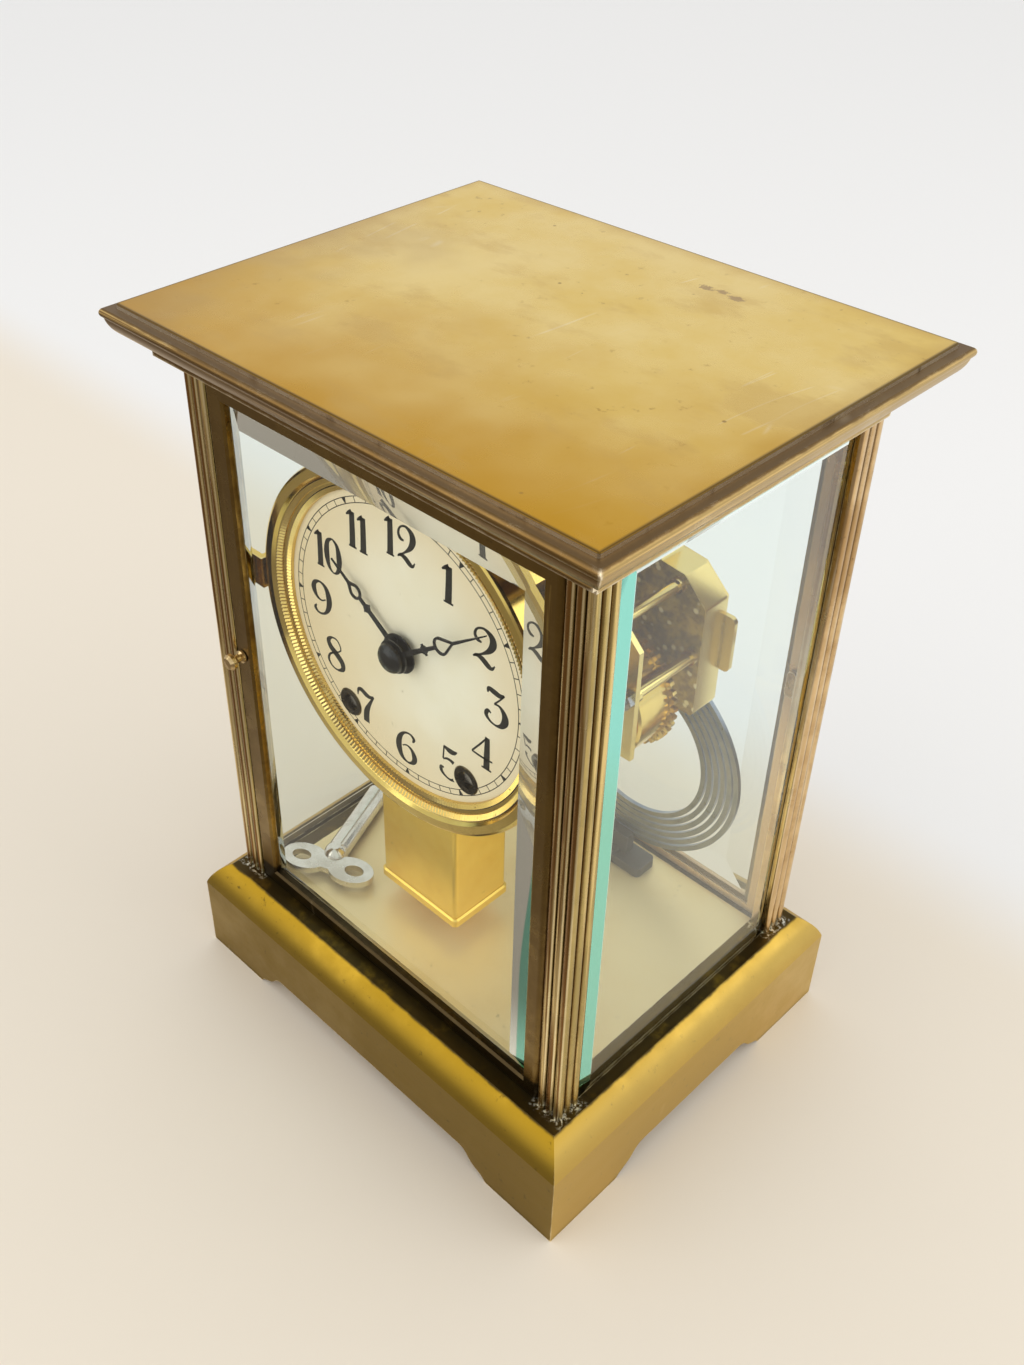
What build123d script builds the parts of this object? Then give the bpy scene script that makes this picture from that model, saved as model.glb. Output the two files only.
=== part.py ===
"""Four-glass mantel clock with an eight-day time-and-strike movement, in millimetres.

Origin: middle of the footprint, on the surface the clock stands on. +Z up, the dial faces -Y.
"""
from build123d import *
import math
import os

os.makedirs("parts", exist_ok=True)

# ---------------------------------------------------------------- case sizes
BASE_WIDTH = 181.0
BASE_DEPTH = 146.0
BASE_FACE = 32.0              # plain upright face of the base
BASE_MOULD_RISE = 10.0        # rounded moulding above it
BASE_MOULD_RUN = 8.0          # how far the moulding steps in
BASE_MOULD_SWELL = 1.2        # how far it bulges past a flat slope
BASE_WALL = 6.0
FOOT_FRONT = 30.0             # length of a bracket foot along the front
FOOT_SIDE = 33.0
FOOT_RISE = 9.0               # height of the apron between the feet
FOOT_CURVE = 13.0             # run of the ogee from foot to apron
LEDGE_FRONT = 4.5             # base top left showing in front of the posts
LEDGE_SIDE = 2.25
POST_WIDTH = 9.8
POST_DEPTH = 10.2
POST_HEIGHT = 204.0
REED_RADIUS = 1.6             # half-round reeds on the outer faces
REED_DEPTH = 1.35             # bottom of the grooves between them
FLOOR_THICK = 2.0
CORNICE_LIP_WIDTH = 188.0
CORNICE_LIP_DEPTH = 153.0
COVE_RISE = 5.0
FRIEZE_RISE = 5.0
OVOLO_RISE = 6.5
LIP_THICK = 3.0
FRIEZE_INSET = 9.7            # frieze face behind the lip
CORNICE_HOLLOW = 11.0         # depth of the cavity under the cornice
PAD_THICK = 1.5
PAD_INSET = 3.6
SCREW_RADIUS = 2.0
SCREW_HEAD_RADIUS = 3.6
SCREW_HEAD_THICK = 2.2
SCREW_BITE = 9.0

# ---------------------------------------------------------------- doors and glass
DOOR_THICK = 5.0
DOOR_STILE = 6.8
DOOR_RAIL = 5.0
DOOR_GAP = 0.5
DOOR_SETBACK = 1.0            # door face behind the post face
GLASS_THICK = 4.0
GLASS_EDGE = 1.8              # thickness left at the edge of the bevel
GLASS_BEVEL = 12.5
GLASS_TUCK = 2.0              # how far a pane reaches under its frame
SIDE_GLASS_SETBACK = 1.2
SIDE_TUCK = 5.0               # side pane into the base and the cornice
SIDE_BEVEL = 8.0
FIT = 0.15                    # clearance of a pane in its groove
PIN_RADIUS = 1.0
PIN_BITE = 4.0
RUN = 0.05                    # radial running clearance
KNOB_RADIUS = 2.8
KNOB_LENGTH = 6.5
LATCH_REACH = 7.8             # tip of the tongue from the spindle
LATCH_WIDTH = 3.4
LATCH_HEIGHT = 105.0          # above the base top
LATCH_THICK = 1.2

# ---------------------------------------------------------------- dial and bezel
DIAL_HEIGHT = 137.5           # dial centre above the base top
DIAL_PLANE = 45.8             # dial face in front of the case centre
DIAL_RADIUS = 52.4
DIAL_THICK = 0.8
BEZEL_RADIUS = 60.5
BEZEL_DEPTH = 8.0
BEZEL_BAND = 3.8              # flat outer band of the bezel
BEZEL_PROUD = 4.1             # bezel front ahead of the dial face
RING_WIDTH = 1.9
RING_THICK = 1.3
BACKPLATE_THICK = 1.5
WIND_X = 26.0                 # winding arbors, sideways from the centre
WIND_DROP = 34.5              # and below it
GROMMET_RADIUS = 5.0
GROMMET_WALL = 1.0
LUG_HEIGHT = 11.0
LUG_THICK = 2.2

# ---------------------------------------------------------------- movement
PLATE_FRONT = -1.0            # front face of the front plate, along Y
PLATE_THICK = 2.0
PLATE_GAP = 29.0              # between the plates
PLATE_HALF = 47.8             # half width of the plates
PLATE_FOOT = 6.6              # plate below the winding arbors
SHOULDER_RISE = 9.5           # shoulder of the plate above the centre arbor
SHOULDER_CHAMFER = 9.0
CROWN_HALF = 29.0             # narrower upper part of the plates
CROWN_RISE = 42.0
FRAME_DEPTH = 11.0            # flanged rear frame
FRAME_WEB = 2.5
FRAME_RIM = 3.0
COVER_THICK = 1.6
EAR_REACH = 4.0
EAR_HEIGHT = 21.0
PILLAR_RADIUS = 2.6
PILLAR_INSET = 5.0
SIDE_PILLAR_RISE = 16.5       # side pillars above the winding arbors
DIAL_PILLAR_RADIUS = 2.0
DIAL_PILLARS = ((30.0, 7.0), (40.0, -22.0))       # from the dial centre, on each side
ARBOR = 0.9                   # radius of the small arbors
BARREL_RADIUS = 19.5
BARREL_LENGTH = 14.0
WIND_ARBOR = 2.4
RATCHET_TEETH = 16
RATCHET_RADIUS = 7.5
WHEEL_THICK = 1.4
ADDENDUM = 0.72
DEDENDUM = 1.12
GREAT_TEETH, GREAT_MODULE = 42, 1.0
SECOND_TEETH, SECOND_MODULE = 48, 0.7
CENTRE_TEETH, CENTRE_MODULE = 48, 0.6
THIRD_TEETH, THIRD_MODULE = 40, 0.5
FOURTH_TEETH, FOURTH_MODULE = 40, 0.45
PIN_WHEEL_TEETH, PIN_WHEEL_MODULE = 40, 0.7
WARN_TEETH, WARN_MODULE = 36, 0.55
LEAVES = 8                    # leaves on every train pinion
ESCAPE_TEETH = 32
ESCAPE_RADIUS = 11.0
CANNON_TEETH, MINUTE_TEETH, MOTION_MODULE = 12, 36, 0.5
MINUTE_LEAVES, HOUR_TEETH = 10, 40
THIRD_BEARING = 75.0          # direction of the third arbor from the centre, degrees
PIN_BEARING = 95.0            # pin wheel from the strike barrel
WARN_BEARING = 60.0           # warning wheel from the pin wheel
FLY_BEARING = 115.0           # fly from the warning wheel
MINUTE_BEARING = -40.0        # minute wheel from the centre
FLY_RADIUS = 7.5

# ---------------------------------------------------------------- hands
MINUTE_HAND = 46.5
HOUR_HAND = 35.0
MINUTE_ANGLE = 54.0           # clockwise from twelve
HOUR_ANGLE = 304.5
HAND_THICK = 0.5
HAND_WIDTH = 1.1
CENTRE_ARBOR = 1.2
CANNON_PIPE = 2.1
HOUR_PIPE = 3.1
NUT_RADIUS = 4.9
HAND_BOSS = 3.4               # disc of a hand outside its pipe
MINUTE_LOOP = (16.4, 21.8, 31.5, 5.8)         # bead, near and far end of the loop, its width
HOUR_LOOP = (16.4, 20.0, 26.8, 5.2)
LOOP_WIRE = 0.8
NUT_HEIGHT = 2.6

# ---------------------------------------------------------------- pendulum, gong, key
PENDULUM_X = -14.0
PENDULUM_RISE = 34.5          # suspension above the dial centre
PENDULUM_Y = -17.0
COCK_RISE = 3.0               # suspension cock above the pallet arbor
COCK_FOOT = (16.0, 2.5)       # width and thickness against the plate
COCK_ARM = (8.0, 4.0)         # width and height of the arm
SPRING_LONG = (9.0, 6.6)      # suspension spring below and above the pallet arbor
CHOP = (10.0, 5.0)            # its lower clamp, foot and top below the same arbor
ESCAPE_DROP = 16.0            # escape arbor below the pallet arbor
PALLET_CLEAR = 1.2            # middle of a pallet outside the wheel
ESCAPE_OUT = 3.4              # gap between the front plate and the escape wheel
ANCHOR_OUT = 3.0
COCK_OUT = 6.2
CRUTCH_DROP = 27.0
STUD_REACH = 9.0              # minute stud ahead of the front plate
ROD_WIDTH = 2.4
ROD_THICK = 1.4
BOB_WIDTH = 39.0
BOB_DEPTH = 27.0
BOB_HEIGHT = 50.0
BOB_CLEAR = 8.0               # bob above the floor plate
BOB_CAP = 4.0
NUT_ROOM = 4.5                # threaded end of the rod below the bob
GONG_X = 13.4
GONG_HEIGHT = 55.0            # gong centre above the base top
GONG_Y = 47.2
GONG_RADIUS = 46.0
GONG_INNER = 29.5
GONG_TURNS = 6
GONG_WIRE = 1.9
GONG_THICK = 1.6
GONG_FOOT = (28.0, 10.5, 4.0) # width, depth and thickness of the stand's foot
GONG_CLAMP = 10.0             # width of the upright that grips the coil
HAMMER_LENGTH = 41.0
HAMMER_BEARING = -72.0
HAMMER_HEAD = 4.6
HAMMER_HEAD_LENGTH = 20.0
KEY_SIDE, KEY_FRONT = 20.6, 13.0      # wings' middle from the side glass and the front posts
KEY_TURN = 22.0
KEY_BARREL = 4.2
KEY_LENGTH = 40.0
KEY_WING = 18.0

# ---------------------------------------------------------------- derived places
base_top = BASE_FACE + BASE_MOULD_RISE
post_box_x = BASE_WIDTH / 2 - BASE_MOULD_RUN - LEDGE_SIDE      # outer faces of the posts
post_box_y = BASE_DEPTH / 2 - BASE_MOULD_RUN - LEDGE_FRONT
post_in_x = post_box_x - POST_WIDTH
post_in_y = post_box_y - POST_DEPTH
post_top = base_top + POST_HEIGHT
cornice_top = post_top + COVE_RISE + FRIEZE_RISE + OVOLO_RISE + LIP_THICK
door_width = 2 * (post_in_x - DOOR_GAP)
door_height = POST_HEIGHT - 2 * DOOR_GAP
door_front = post_box_y - DOOR_SETBACK
door_back = door_front - DOOR_THICK
hinge_x = door_width / 2 - DOOR_THICK / 2
hinge_y = door_front - DOOR_THICK / 2
pane_width = door_width - 2 * DOOR_STILE + 2 * GLASS_TUCK
pane_height = door_height - 2 * DOOR_RAIL + 2 * GLASS_TUCK
bevel_at_frame = GLASS_EDGE + (GLASS_THICK - GLASS_EDGE) * GLASS_TUCK / GLASS_BEVEL
dial_z = base_top + DIAL_HEIGHT
dial_y = -DIAL_PLANE
bezel_front = dial_y - BEZEL_PROUD
bezel_back = bezel_front + BEZEL_DEPTH
backplate_back = bezel_back + BACKPLATE_THICK
wind_z = dial_z - WIND_DROP
plate_back = PLATE_FRONT + PLATE_THICK
frame_front = plate_back + PLATE_GAP
frame_back = frame_front + FRAME_DEPTH
plate_low = wind_z - PLATE_FOOT
shoulder_z = dial_z + SHOULDER_RISE
crown_z = dial_z + CROWN_RISE
pivot_z = dial_z + PENDULUM_RISE
escape_z = pivot_z - ESCAPE_DROP
gong_z = base_top + GONG_HEIGHT
motion_reach = (CANNON_TEETH + MINUTE_TEETH) * MOTION_MODULE / 2
hour_module = 2 * motion_reach / (MINUTE_LEAVES + HOUR_TEETH)


def toward(point, bearing, reach):
    """Point at a distance and a bearing (degrees from +X towards +Z) in the XZ plane."""
    a = math.radians(bearing)
    return (point[0] + reach * math.cos(a), point[1] + reach * math.sin(a))


def bearing(start, end):
    return math.degrees(math.atan2(end[1] - start[1], end[0] - start[0]))


def pitch_reach(teeth, leaves, module):
    return (teeth + leaves) * module / 2


def meet(a, reach_a, b, reach_b, side):
    """Point at reach_a from a and reach_b from b, on the given side of the line a to b."""
    gap = math.dist(a, b)
    along = (reach_a**2 - reach_b**2 + gap**2) / (2 * gap)
    off = math.sqrt(max(reach_a**2 - along**2, 0.0)) * side
    ux, uz = (b[0] - a[0]) / gap, (b[1] - a[1]) / gap
    return (a[0] + along * ux - off * uz, a[1] + along * uz + off * ux)


centre_at = (0.0, dial_z)
time_at = (WIND_X, wind_z)
strike_at = (-WIND_X, wind_z)
escape_at = (PENDULUM_X, escape_z)
great_reach = pitch_reach(GREAT_TEETH, LEAVES, GREAT_MODULE)
second_at = meet(time_at, great_reach, centre_at,
                 pitch_reach(SECOND_TEETH, LEAVES, SECOND_MODULE), -1)
third_at = toward(centre_at, THIRD_BEARING, pitch_reach(CENTRE_TEETH, LEAVES, CENTRE_MODULE))
fourth_at = meet(third_at, pitch_reach(THIRD_TEETH, LEAVES, THIRD_MODULE), escape_at,
                 pitch_reach(FOURTH_TEETH, LEAVES, FOURTH_MODULE), -1)
pin_at = toward(strike_at, PIN_BEARING, great_reach)
warn_at = toward(pin_at, WARN_BEARING, pitch_reach(PIN_WHEEL_TEETH, LEAVES, PIN_WHEEL_MODULE))
fly_at = toward(warn_at, FLY_BEARING, pitch_reach(WARN_TEETH, LEAVES, WARN_MODULE))
minute_at = toward(centre_at, MINUTE_BEARING, motion_reach)
pallet_at = (PENDULUM_X, pivot_z)
hammer_at = (0.0, wind_z + 5.0)

# layers of the wheels between the plates, measured back from the front plate
drum_y = plate_back + 5.0
great_y = drum_y + BARREL_LENGTH
second_y = plate_back + 2.0
centre_y = plate_back + 9.0
third_y = plate_back + 14.5
fourth_y = plate_back + 19.5
warn_y = plate_back + 12.4
pivot_front = PLATE_FRONT - 0.3
pivot_back = frame_front + FRAME_WEB + 0.3


# ---------------------------------------------------------------- drawing helpers
def slab(sketch, y_front, y_back):
    """Sketch drawn in X and Z, made solid between two Y places."""
    return extrude(Plane.XZ.offset(-y_back) * sketch, amount=y_back - y_front)


def disc(at, radius, y_front, y_back):
    return slab(Pos(*at) * Circle(radius), y_front, y_back)


def tube(at, radius, bore, y_front, y_back):
    return slab(Pos(*at) * (Circle(radius) - Circle(bore)), y_front, y_back)


def block(x, y, z):
    """Box between two corners given as (low, high) pairs."""
    size = [b - a for a, b in (x, y, z)]
    mid = [(a + b) / 2 for a, b in (x, y, z)]
    return Pos(*mid) * Box(*size)


def turned(points, at):
    """Lathe-turned ring about the Y axis through (x, z); points are (radius, y)."""
    face = make_face(Polyline(*points, close=True))
    return Pos(at[0], 0, at[1]) * revolve(face, Axis.Y)


def rounded(box, radius, axis=Axis.Z):
    return fillet(box.edges().filter_by(axis), radius)


def mitred(width, depth, outline):
    """Rectangular moulding: one outline run both ways, meeting at mitred corners."""
    across = extrude(Plane.XZ * outline(width, 0), amount=depth, both=True)
    along = extrude(Plane.YZ * outline(depth, 1), amount=width, both=True)
    return across & along


def toothed(teeth, module, phase, tip=0.36, root=0.62):
    """Outline of a gear with straight-sided teeth, a tooth centred on the phase angle."""
    pitch = 360 / teeth
    r = teeth * module / 2
    high, low = r + ADDENDUM * module, r - DEDENDUM * module
    points = []
    for i in range(teeth):
        a = phase + i * pitch
        for share, radius in ((-root / 2, low), (-tip / 2, high), (tip / 2, high), (root / 2, low)):
            t = math.radians(a + share * pitch)
            points.append((radius * math.cos(t), radius * math.sin(t)))
    return make_face(Polyline(*points, close=True))


def crossed(sketch, hub, rim, arms, arm_width, phase=0.0):
    """Cuts the openings between the arms of a wheel."""
    mid = (hub + rim) / 2
    span = 2 * math.pi * mid / arms - arm_width
    width = rim - hub
    for i in range(arms):
        hole = Pos(mid, 0) * RectangleRounded(width, span, width * 0.32)
        hole = hole & (Circle(rim) - Circle(hub))
        sketch -= Rot(0, 0, phase + (i + 0.5) * 360 / arms) * hole
    return sketch


def wheel(at, teeth, module, phase, y_front, bore, arms=4, thick=WHEEL_THICK):
    r = teeth * module / 2
    face = toothed(teeth, module, phase)
    if arms:
        face = crossed(face, r * 0.24, r - 2.6 * module - 0.6, arms, r * 0.16)
    return slab(Pos(*at) * (face - Circle(bore)), y_front, y_front + thick)


def pinion(at, leaves, module, phase, y_front, y_back):
    return slab(Pos(*at) * toothed(leaves, module, phase, tip=0.24, root=0.46), y_front, y_back)


def against(phase_bearing, leaves):
    """Phase that puts a gap of a pinion opposite a tooth arriving along a bearing."""
    return phase_bearing + 180 + 180 / leaves


def fused(*pieces):
    whole = pieces[0]
    for piece in pieces[1:]:
        whole += piece
    return whole


def both_sides(piece):
    return [piece, mirror(piece, about=Plane.YZ)]


# ---------------------------------------------------------------- case
def base_outline(size, _):
    half = size / 2
    top = half - BASE_MOULD_RUN
    slope = math.hypot(BASE_MOULD_RUN, BASE_MOULD_RISE)
    swell = (half - BASE_MOULD_RUN / 2 + BASE_MOULD_SWELL * BASE_MOULD_RISE / slope,
             BASE_FACE + BASE_MOULD_RISE / 2 + BASE_MOULD_SWELL * BASE_MOULD_RUN / slope)
    right = [Line((half, 0), (half, BASE_FACE)), ThreePointArc((half, BASE_FACE), swell, (top, base_top))]
    left = [mirror(edge, about=Plane.YZ) for edge in right]
    ends = [Line((top, base_top), (-top, base_top)), Line((-half, 0), (half, 0))]
    return make_face(Curve() + right + left + ends)


def foot_gap(size, foot):
    """Apron opening between two bracket feet, with an ogee at each end."""
    edge = size / 2 - foot
    flat = edge - FOOT_CURVE
    half_rise = FOOT_RISE / 2
    mid = edge - FOOT_CURVE / 2
    right = [Spline((edge, 0), (mid, half_rise), (flat, FOOT_RISE),
                    tangents=((-0.5, 1), (-1, 0)))]
    left = [mirror(edge_, about=Plane.YZ) for edge_ in right]
    ends = [Line((flat, FOOT_RISE), (-flat, FOOT_RISE)), Line((-edge, 0), (edge, 0))]
    return make_face(Curve() + right + left + ends)


def pane_grooves(tuck, low, high):
    """Grooves for the side panes, as wide as the bevel is thick where it enters them."""
    x1 = post_box_x - SIDE_GLASS_SETBACK - GLASS_THICK
    x0 = x1 + GLASS_EDGE + (GLASS_THICK - GLASS_EDGE) * tuck / SIDE_BEVEL
    y = post_in_y + GLASS_TUCK + FIT
    return both_sides(block((x1 - FIT, x0 + FIT), (-y, y), (low, high)))


def hinge_holes():
    """Sockets for the hinge pins of both doors, above and below."""
    holes = []
    for x, y in ((hinge_x, -hinge_y), (-hinge_x, hinge_y)):
        low = Pos(x, y, base_top) * Cylinder(PIN_RADIUS + RUN, 2 * PIN_BITE)
        high = Pos(x, y, post_top) * Cylinder(PIN_RADIUS + RUN, 2 * PIN_BITE)
        holes += [low, high]
    return holes


def post_places():
    x = post_box_x - POST_WIDTH / 2
    y = post_box_y - POST_DEPTH / 2
    return {"front_left": (-x, -y), "front_right": (x, -y), "rear_left": (-x, y), "rear_right": (x, y)}


def screw_holes(z, length):
    return [Pos(x, y, z) * Cylinder(SCREW_RADIUS, length) for x, y in post_places().values()]


def floor_size():
    return 2 * (post_in_x - 1.5), 2 * (post_in_y + 2.5)


def base_plinth():
    body = mitred(BASE_WIDTH, BASE_DEPTH, base_outline)
    ceiling = base_top - FLOOR_THICK - BASE_WALL
    hollow = block((-BASE_WIDTH / 2 + BASE_WALL, BASE_WIDTH / 2 - BASE_WALL),
                   (-BASE_DEPTH / 2 + BASE_WALL, BASE_DEPTH / 2 - BASE_WALL), (-1, ceiling))
    body -= rounded(hollow, 4.0)
    width, depth = floor_size()
    body -= Pos(0, 0, base_top - FLOOR_THICK / 2) * Box(width, depth, FLOOR_THICK)
    body -= Pos(0, 0, ceiling) * Box(width - 24, depth - 20, 4 * BASE_WALL)
    body -= extrude(Plane.XZ * foot_gap(BASE_WIDTH, FOOT_FRONT), amount=BASE_DEPTH, both=True)
    body -= extrude(Plane.YZ * foot_gap(BASE_DEPTH, FOOT_SIDE), amount=BASE_WIDTH, both=True)
    grooves = pane_grooves(SIDE_TUCK, base_top - SIDE_TUCK - FIT, base_top + 1)
    for cut in grooves + hinge_holes() + screw_holes(base_top, 6 * BASE_WALL):
        body -= cut
    return body


def floor_plate():
    width, depth = floor_size()
    return Pos(0, 0, base_top - FLOOR_THICK / 2) * Box(width, depth, FLOOR_THICK)


def post(name):
    x, y = post_places()[name]
    sx, sy = math.copysign(1, x), math.copysign(1, y)
    core = Rectangle(POST_WIDTH - REED_DEPTH, POST_DEPTH - REED_DEPTH)
    section = Pos(-sx * REED_DEPTH / 2, -sy * REED_DEPTH / 2) * core
    face_x = POST_WIDTH / 2 - REED_RADIUS
    face_y = POST_DEPTH / 2 - REED_RADIUS
    for share in (-1, 0, 1):
        section += Pos(sx * face_x, share * face_y) * Circle(REED_RADIUS)
        section += Pos(share * face_x, sy * face_y) * Circle(REED_RADIUS)
    section &= Rectangle(POST_WIDTH, POST_DEPTH)
    column = Pos(x, y, base_top) * extrude(section, amount=POST_HEIGHT)
    ends = screw_holes(base_top, 2 * SCREW_BITE) + screw_holes(post_top, 2 * SCREW_BITE)
    for cut in pane_grooves(GLASS_TUCK, base_top - 1, post_top + 1) + ends + latch_slots():
        column -= cut
    return column


def latch_slots():
    """Slots in the free-side posts that take the latch tongues."""
    x, z = latch_at()
    reach = LATCH_REACH + 0.8
    rise = math.sqrt(reach**2 - (post_in_x + x)**2)
    slot = block((x - reach, -post_in_x + 1), (-door_back - 0.1, -door_back + LATCH_THICK + 0.5),
                 (z - LATCH_WIDTH / 2 - 0.5, z + rise + 0.3))
    return [slot, to_rear(slot)]


def cornice_outline(size, way):
    half = size / 2
    low = (post_box_x, post_box_y)[way] + 0.6
    frieze = half - FRIEZE_INSET
    cove_foot = post_top + 1.0
    cove_top = post_top + COVE_RISE
    frieze_top = cove_top + FRIEZE_RISE
    lip_low = frieze_top + OVOLO_RISE
    lip = half - 0.9
    cove_mid = (low + (frieze - low) * 0.30, cove_foot + (cove_top - cove_foot) * 0.70)
    ovolo_mid = (frieze + (lip - frieze) * 0.72, frieze_top + (lip_low - frieze_top) * 0.30)
    right = [Line((low, post_top), (low, cove_foot)),
             ThreePointArc((low, cove_foot), cove_mid, (frieze, cove_top)),
             Line((frieze, cove_top), (frieze, frieze_top)),
             ThreePointArc((frieze, frieze_top), ovolo_mid, (lip, lip_low)),
             ThreePointArc((lip, lip_low), (half, lip_low + LIP_THICK / 2), (lip, cornice_top))]
    left = [mirror(edge, about=Plane.YZ) for edge in right]
    ends = [Line((lip, cornice_top), (-lip, cornice_top)), Line((-low, post_top), (low, post_top))]
    return make_face(Curve() + right + left + ends)


def cornice():
    body = mitred(CORNICE_LIP_WIDTH, CORNICE_LIP_DEPTH, cornice_outline)
    hollow_z = (post_top - 1, post_top + CORNICE_HOLLOW)
    body -= block((-post_in_x, post_in_x), (-post_in_y, post_in_y), hollow_z)
    grooves = pane_grooves(SIDE_TUCK, post_top - 1, post_top + SIDE_TUCK + FIT)
    for cut in grooves + hinge_holes() + screw_holes(cornice_top, 2 * (cornice_top - post_top) + 1):
        body -= cut
    for x, y in post_places().values():
        body -= Pos(x, y, cornice_top) * Cylinder(SCREW_HEAD_RADIUS + RUN, 2 * (SCREW_HEAD_THICK + RUN))
    return body


def top_plate():
    width, depth = CORNICE_LIP_WIDTH - 2 * PAD_INSET, CORNICE_LIP_DEPTH - 2 * PAD_INSET
    plate = Pos(0, 0, cornice_top + PAD_THICK / 2) * Box(width, depth, PAD_THICK)
    plate = rounded(plate, 1.0)
    return fillet(plate.faces().sort_by(Axis.Z)[-1].edges(), 0.5)


def case_screws():
    """Four screws up through the base and four down through the cornice, into the post ends."""
    screws = []
    ceiling = base_top - FLOOR_THICK - BASE_WALL
    for x, y in post_places().values():
        shank = block_z(x, y, SCREW_RADIUS, ceiling, base_top + SCREW_BITE)
        screws.append(shank + block_z(x, y, SCREW_HEAD_RADIUS, ceiling - SCREW_HEAD_THICK, ceiling))
        shank = block_z(x, y, SCREW_RADIUS, post_top - SCREW_BITE, cornice_top - RUN)
        head = block_z(x, y, SCREW_HEAD_RADIUS, cornice_top - SCREW_HEAD_THICK, cornice_top - RUN)
        screws.append(shank + head)
    return screws


def block_z(x, y, radius, low, high):
    return Pos(x, y, (low + high) / 2) * Cylinder(radius, high - low)


# ---------------------------------------------------------------- glass
def bevelled_pane(width, height, bevel):
    """Pane standing in XZ with its bevelled side towards -Y and its flat back at y = 0."""
    edge = Pos(0, -GLASS_EDGE / 2, 0) * Box(width, GLASS_EDGE, height)
    outer = Plane.XZ.offset(GLASS_EDGE) * Rectangle(width, height)
    inner = Plane.XZ.offset(GLASS_THICK) * Rectangle(width - 2 * bevel, height - 2 * bevel)
    return edge + loft([outer, inner])


def side_glass(sign):
    width = 2 * (post_in_y + GLASS_TUCK)
    pane = bevelled_pane(width, POST_HEIGHT + 2 * SIDE_TUCK, SIDE_BEVEL)
    x = post_box_x - SIDE_GLASS_SETBACK - GLASS_THICK
    return Pos(sign * x, 0, (base_top + post_top) / 2) * (Rot(0, 0, 90 * sign) * pane)


def front_glass():
    pane = bevelled_pane(pane_width, pane_height, GLASS_BEVEL)
    return Pos(0, -(door_front - frame_lip() - bevel_at_frame), (base_top + post_top) / 2) * pane


def frame_lip():
    """Thickness of the door's front lip, so that the bevel seats on its inner edge."""
    return DOOR_THICK - bevel_at_frame - 0.2


# ---------------------------------------------------------------- doors
def door_frame():
    """Front door frame; the right stile is rounded about the hinge pins."""
    z = (base_top + post_top) / 2
    y = -hinge_y
    frame = Pos(0, y, z) * Box(door_width, DOOR_THICK, door_height)
    hinge_edges = frame.edges().filter_by(Axis.Z).group_by(Axis.X)[-1]
    frame = fillet(hinge_edges, DOOR_THICK / 2 - 0.05)
    frame -= Pos(0, y, z) * Box(pane_width - 2 * GLASS_TUCK, 2 * DOOR_THICK, pane_height - 2 * GLASS_TUCK)
    pocket = Box(pane_width + 2 * FIT, DOOR_THICK, pane_height + 2 * FIT)
    frame -= Pos(0, -door_front + frame_lip() + DOOR_THICK / 2, z) * pocket
    opening = frame.faces().filter_by(Axis.Y).sort_by(Axis.Y)[0].inner_wires()[0].edges()
    frame = chamfer(opening, 0.8)
    for pin in hinge_pins():
        frame += pin
    return frame - disc(latch_at(), PIN_RADIUS + RUN, -door_front - 1, -door_back + 1)


def latch_at():
    return (-(door_width - DOOR_STILE) / 2 - 0.8, base_top + LATCH_HEIGHT)


def hinge_pins():
    """Pins driven into the top and bottom of the hinge stile."""
    reach = PIN_BITE - 0.8
    pins = []
    for end, sign in ((base_top, -1), (post_top, 1)):
        low, high = sorted((end + sign * reach, end - sign * (DOOR_GAP + PIN_BITE)))
        pins.append(block_z(hinge_x, -hinge_y, PIN_RADIUS, low, high))
    return pins


def latch():
    """Turned knob, its spindle through the stile and the tongue behind it, at rest upright."""
    x, z = latch_at()
    face = -door_front - 0.3
    stem = KNOB_RADIUS * 0.5
    profile = [(0, -door_back + 0.2), (PIN_RADIUS, -door_back + 0.2), (PIN_RADIUS, face), (stem + 0.9, face),
               (stem + 0.9, face - 0.8), (stem, face - 1.4), (stem, face - KNOB_LENGTH * 0.42),
               (KNOB_RADIUS, face - KNOB_LENGTH * 0.62), (KNOB_RADIUS, face - KNOB_LENGTH * 0.80),
               (KNOB_RADIUS * 0.72, face - KNOB_LENGTH * 0.97), (0, face - KNOB_LENGTH)]
    knob = turned(profile, (x, z))
    tongue_back = -door_back + 0.2 + LATCH_THICK
    tail = LATCH_WIDTH / 2 + 0.6
    outline = SlotOverall(LATCH_REACH + tail, LATCH_WIDTH, rotation=90)
    tongue = slab(Pos(x, z + (LATCH_REACH - tail) / 2) * outline, -door_back + 0.2, tongue_back)
    return knob + tongue


def to_rear(shape):
    """Half a turn about the clock's upright axis, from the front door to the rear one."""
    if isinstance(shape, list):
        return [to_rear(piece) for piece in shape]
    return Rot(0, 0, 180) * shape


# ---------------------------------------------------------------- dial
def bezel():
    inner = DIAL_RADIUS + 0.2
    band = BEZEL_RADIUS - BEZEL_BAND
    y0, y1 = bezel_front, bezel_back
    seat = dial_y - RING_THICK
    rise = seat - y0
    profile = [(inner, y1), (BEZEL_RADIUS, y1), (BEZEL_RADIUS, y0 + 1.2), (BEZEL_RADIUS - 0.4, y0 + 0.4),
               (BEZEL_RADIUS - 1.2, y0), (band, y0)]
    run = band - inner
    for step in range(1, 6):
        t = step / 5
        profile.append((band - run * t, y0 + rise * math.sin(t * math.pi / 2) ** 0.8))
    return turned(profile, centre_at)


def milled_ring():
    """Fine coin-edged ring between the bezel and the dial."""
    outer = DIAL_RADIUS + 0.1
    low = outer - RING_WIDTH
    y = dial_y
    profile = [(low, y), (outer, y), (outer, y - RING_THICK), (outer - 0.5, y - RING_THICK - 0.3),
               (low + 0.5, y - RING_THICK + 0.1), (low, y - 0.6)]
    return turned(profile, centre_at)


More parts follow.
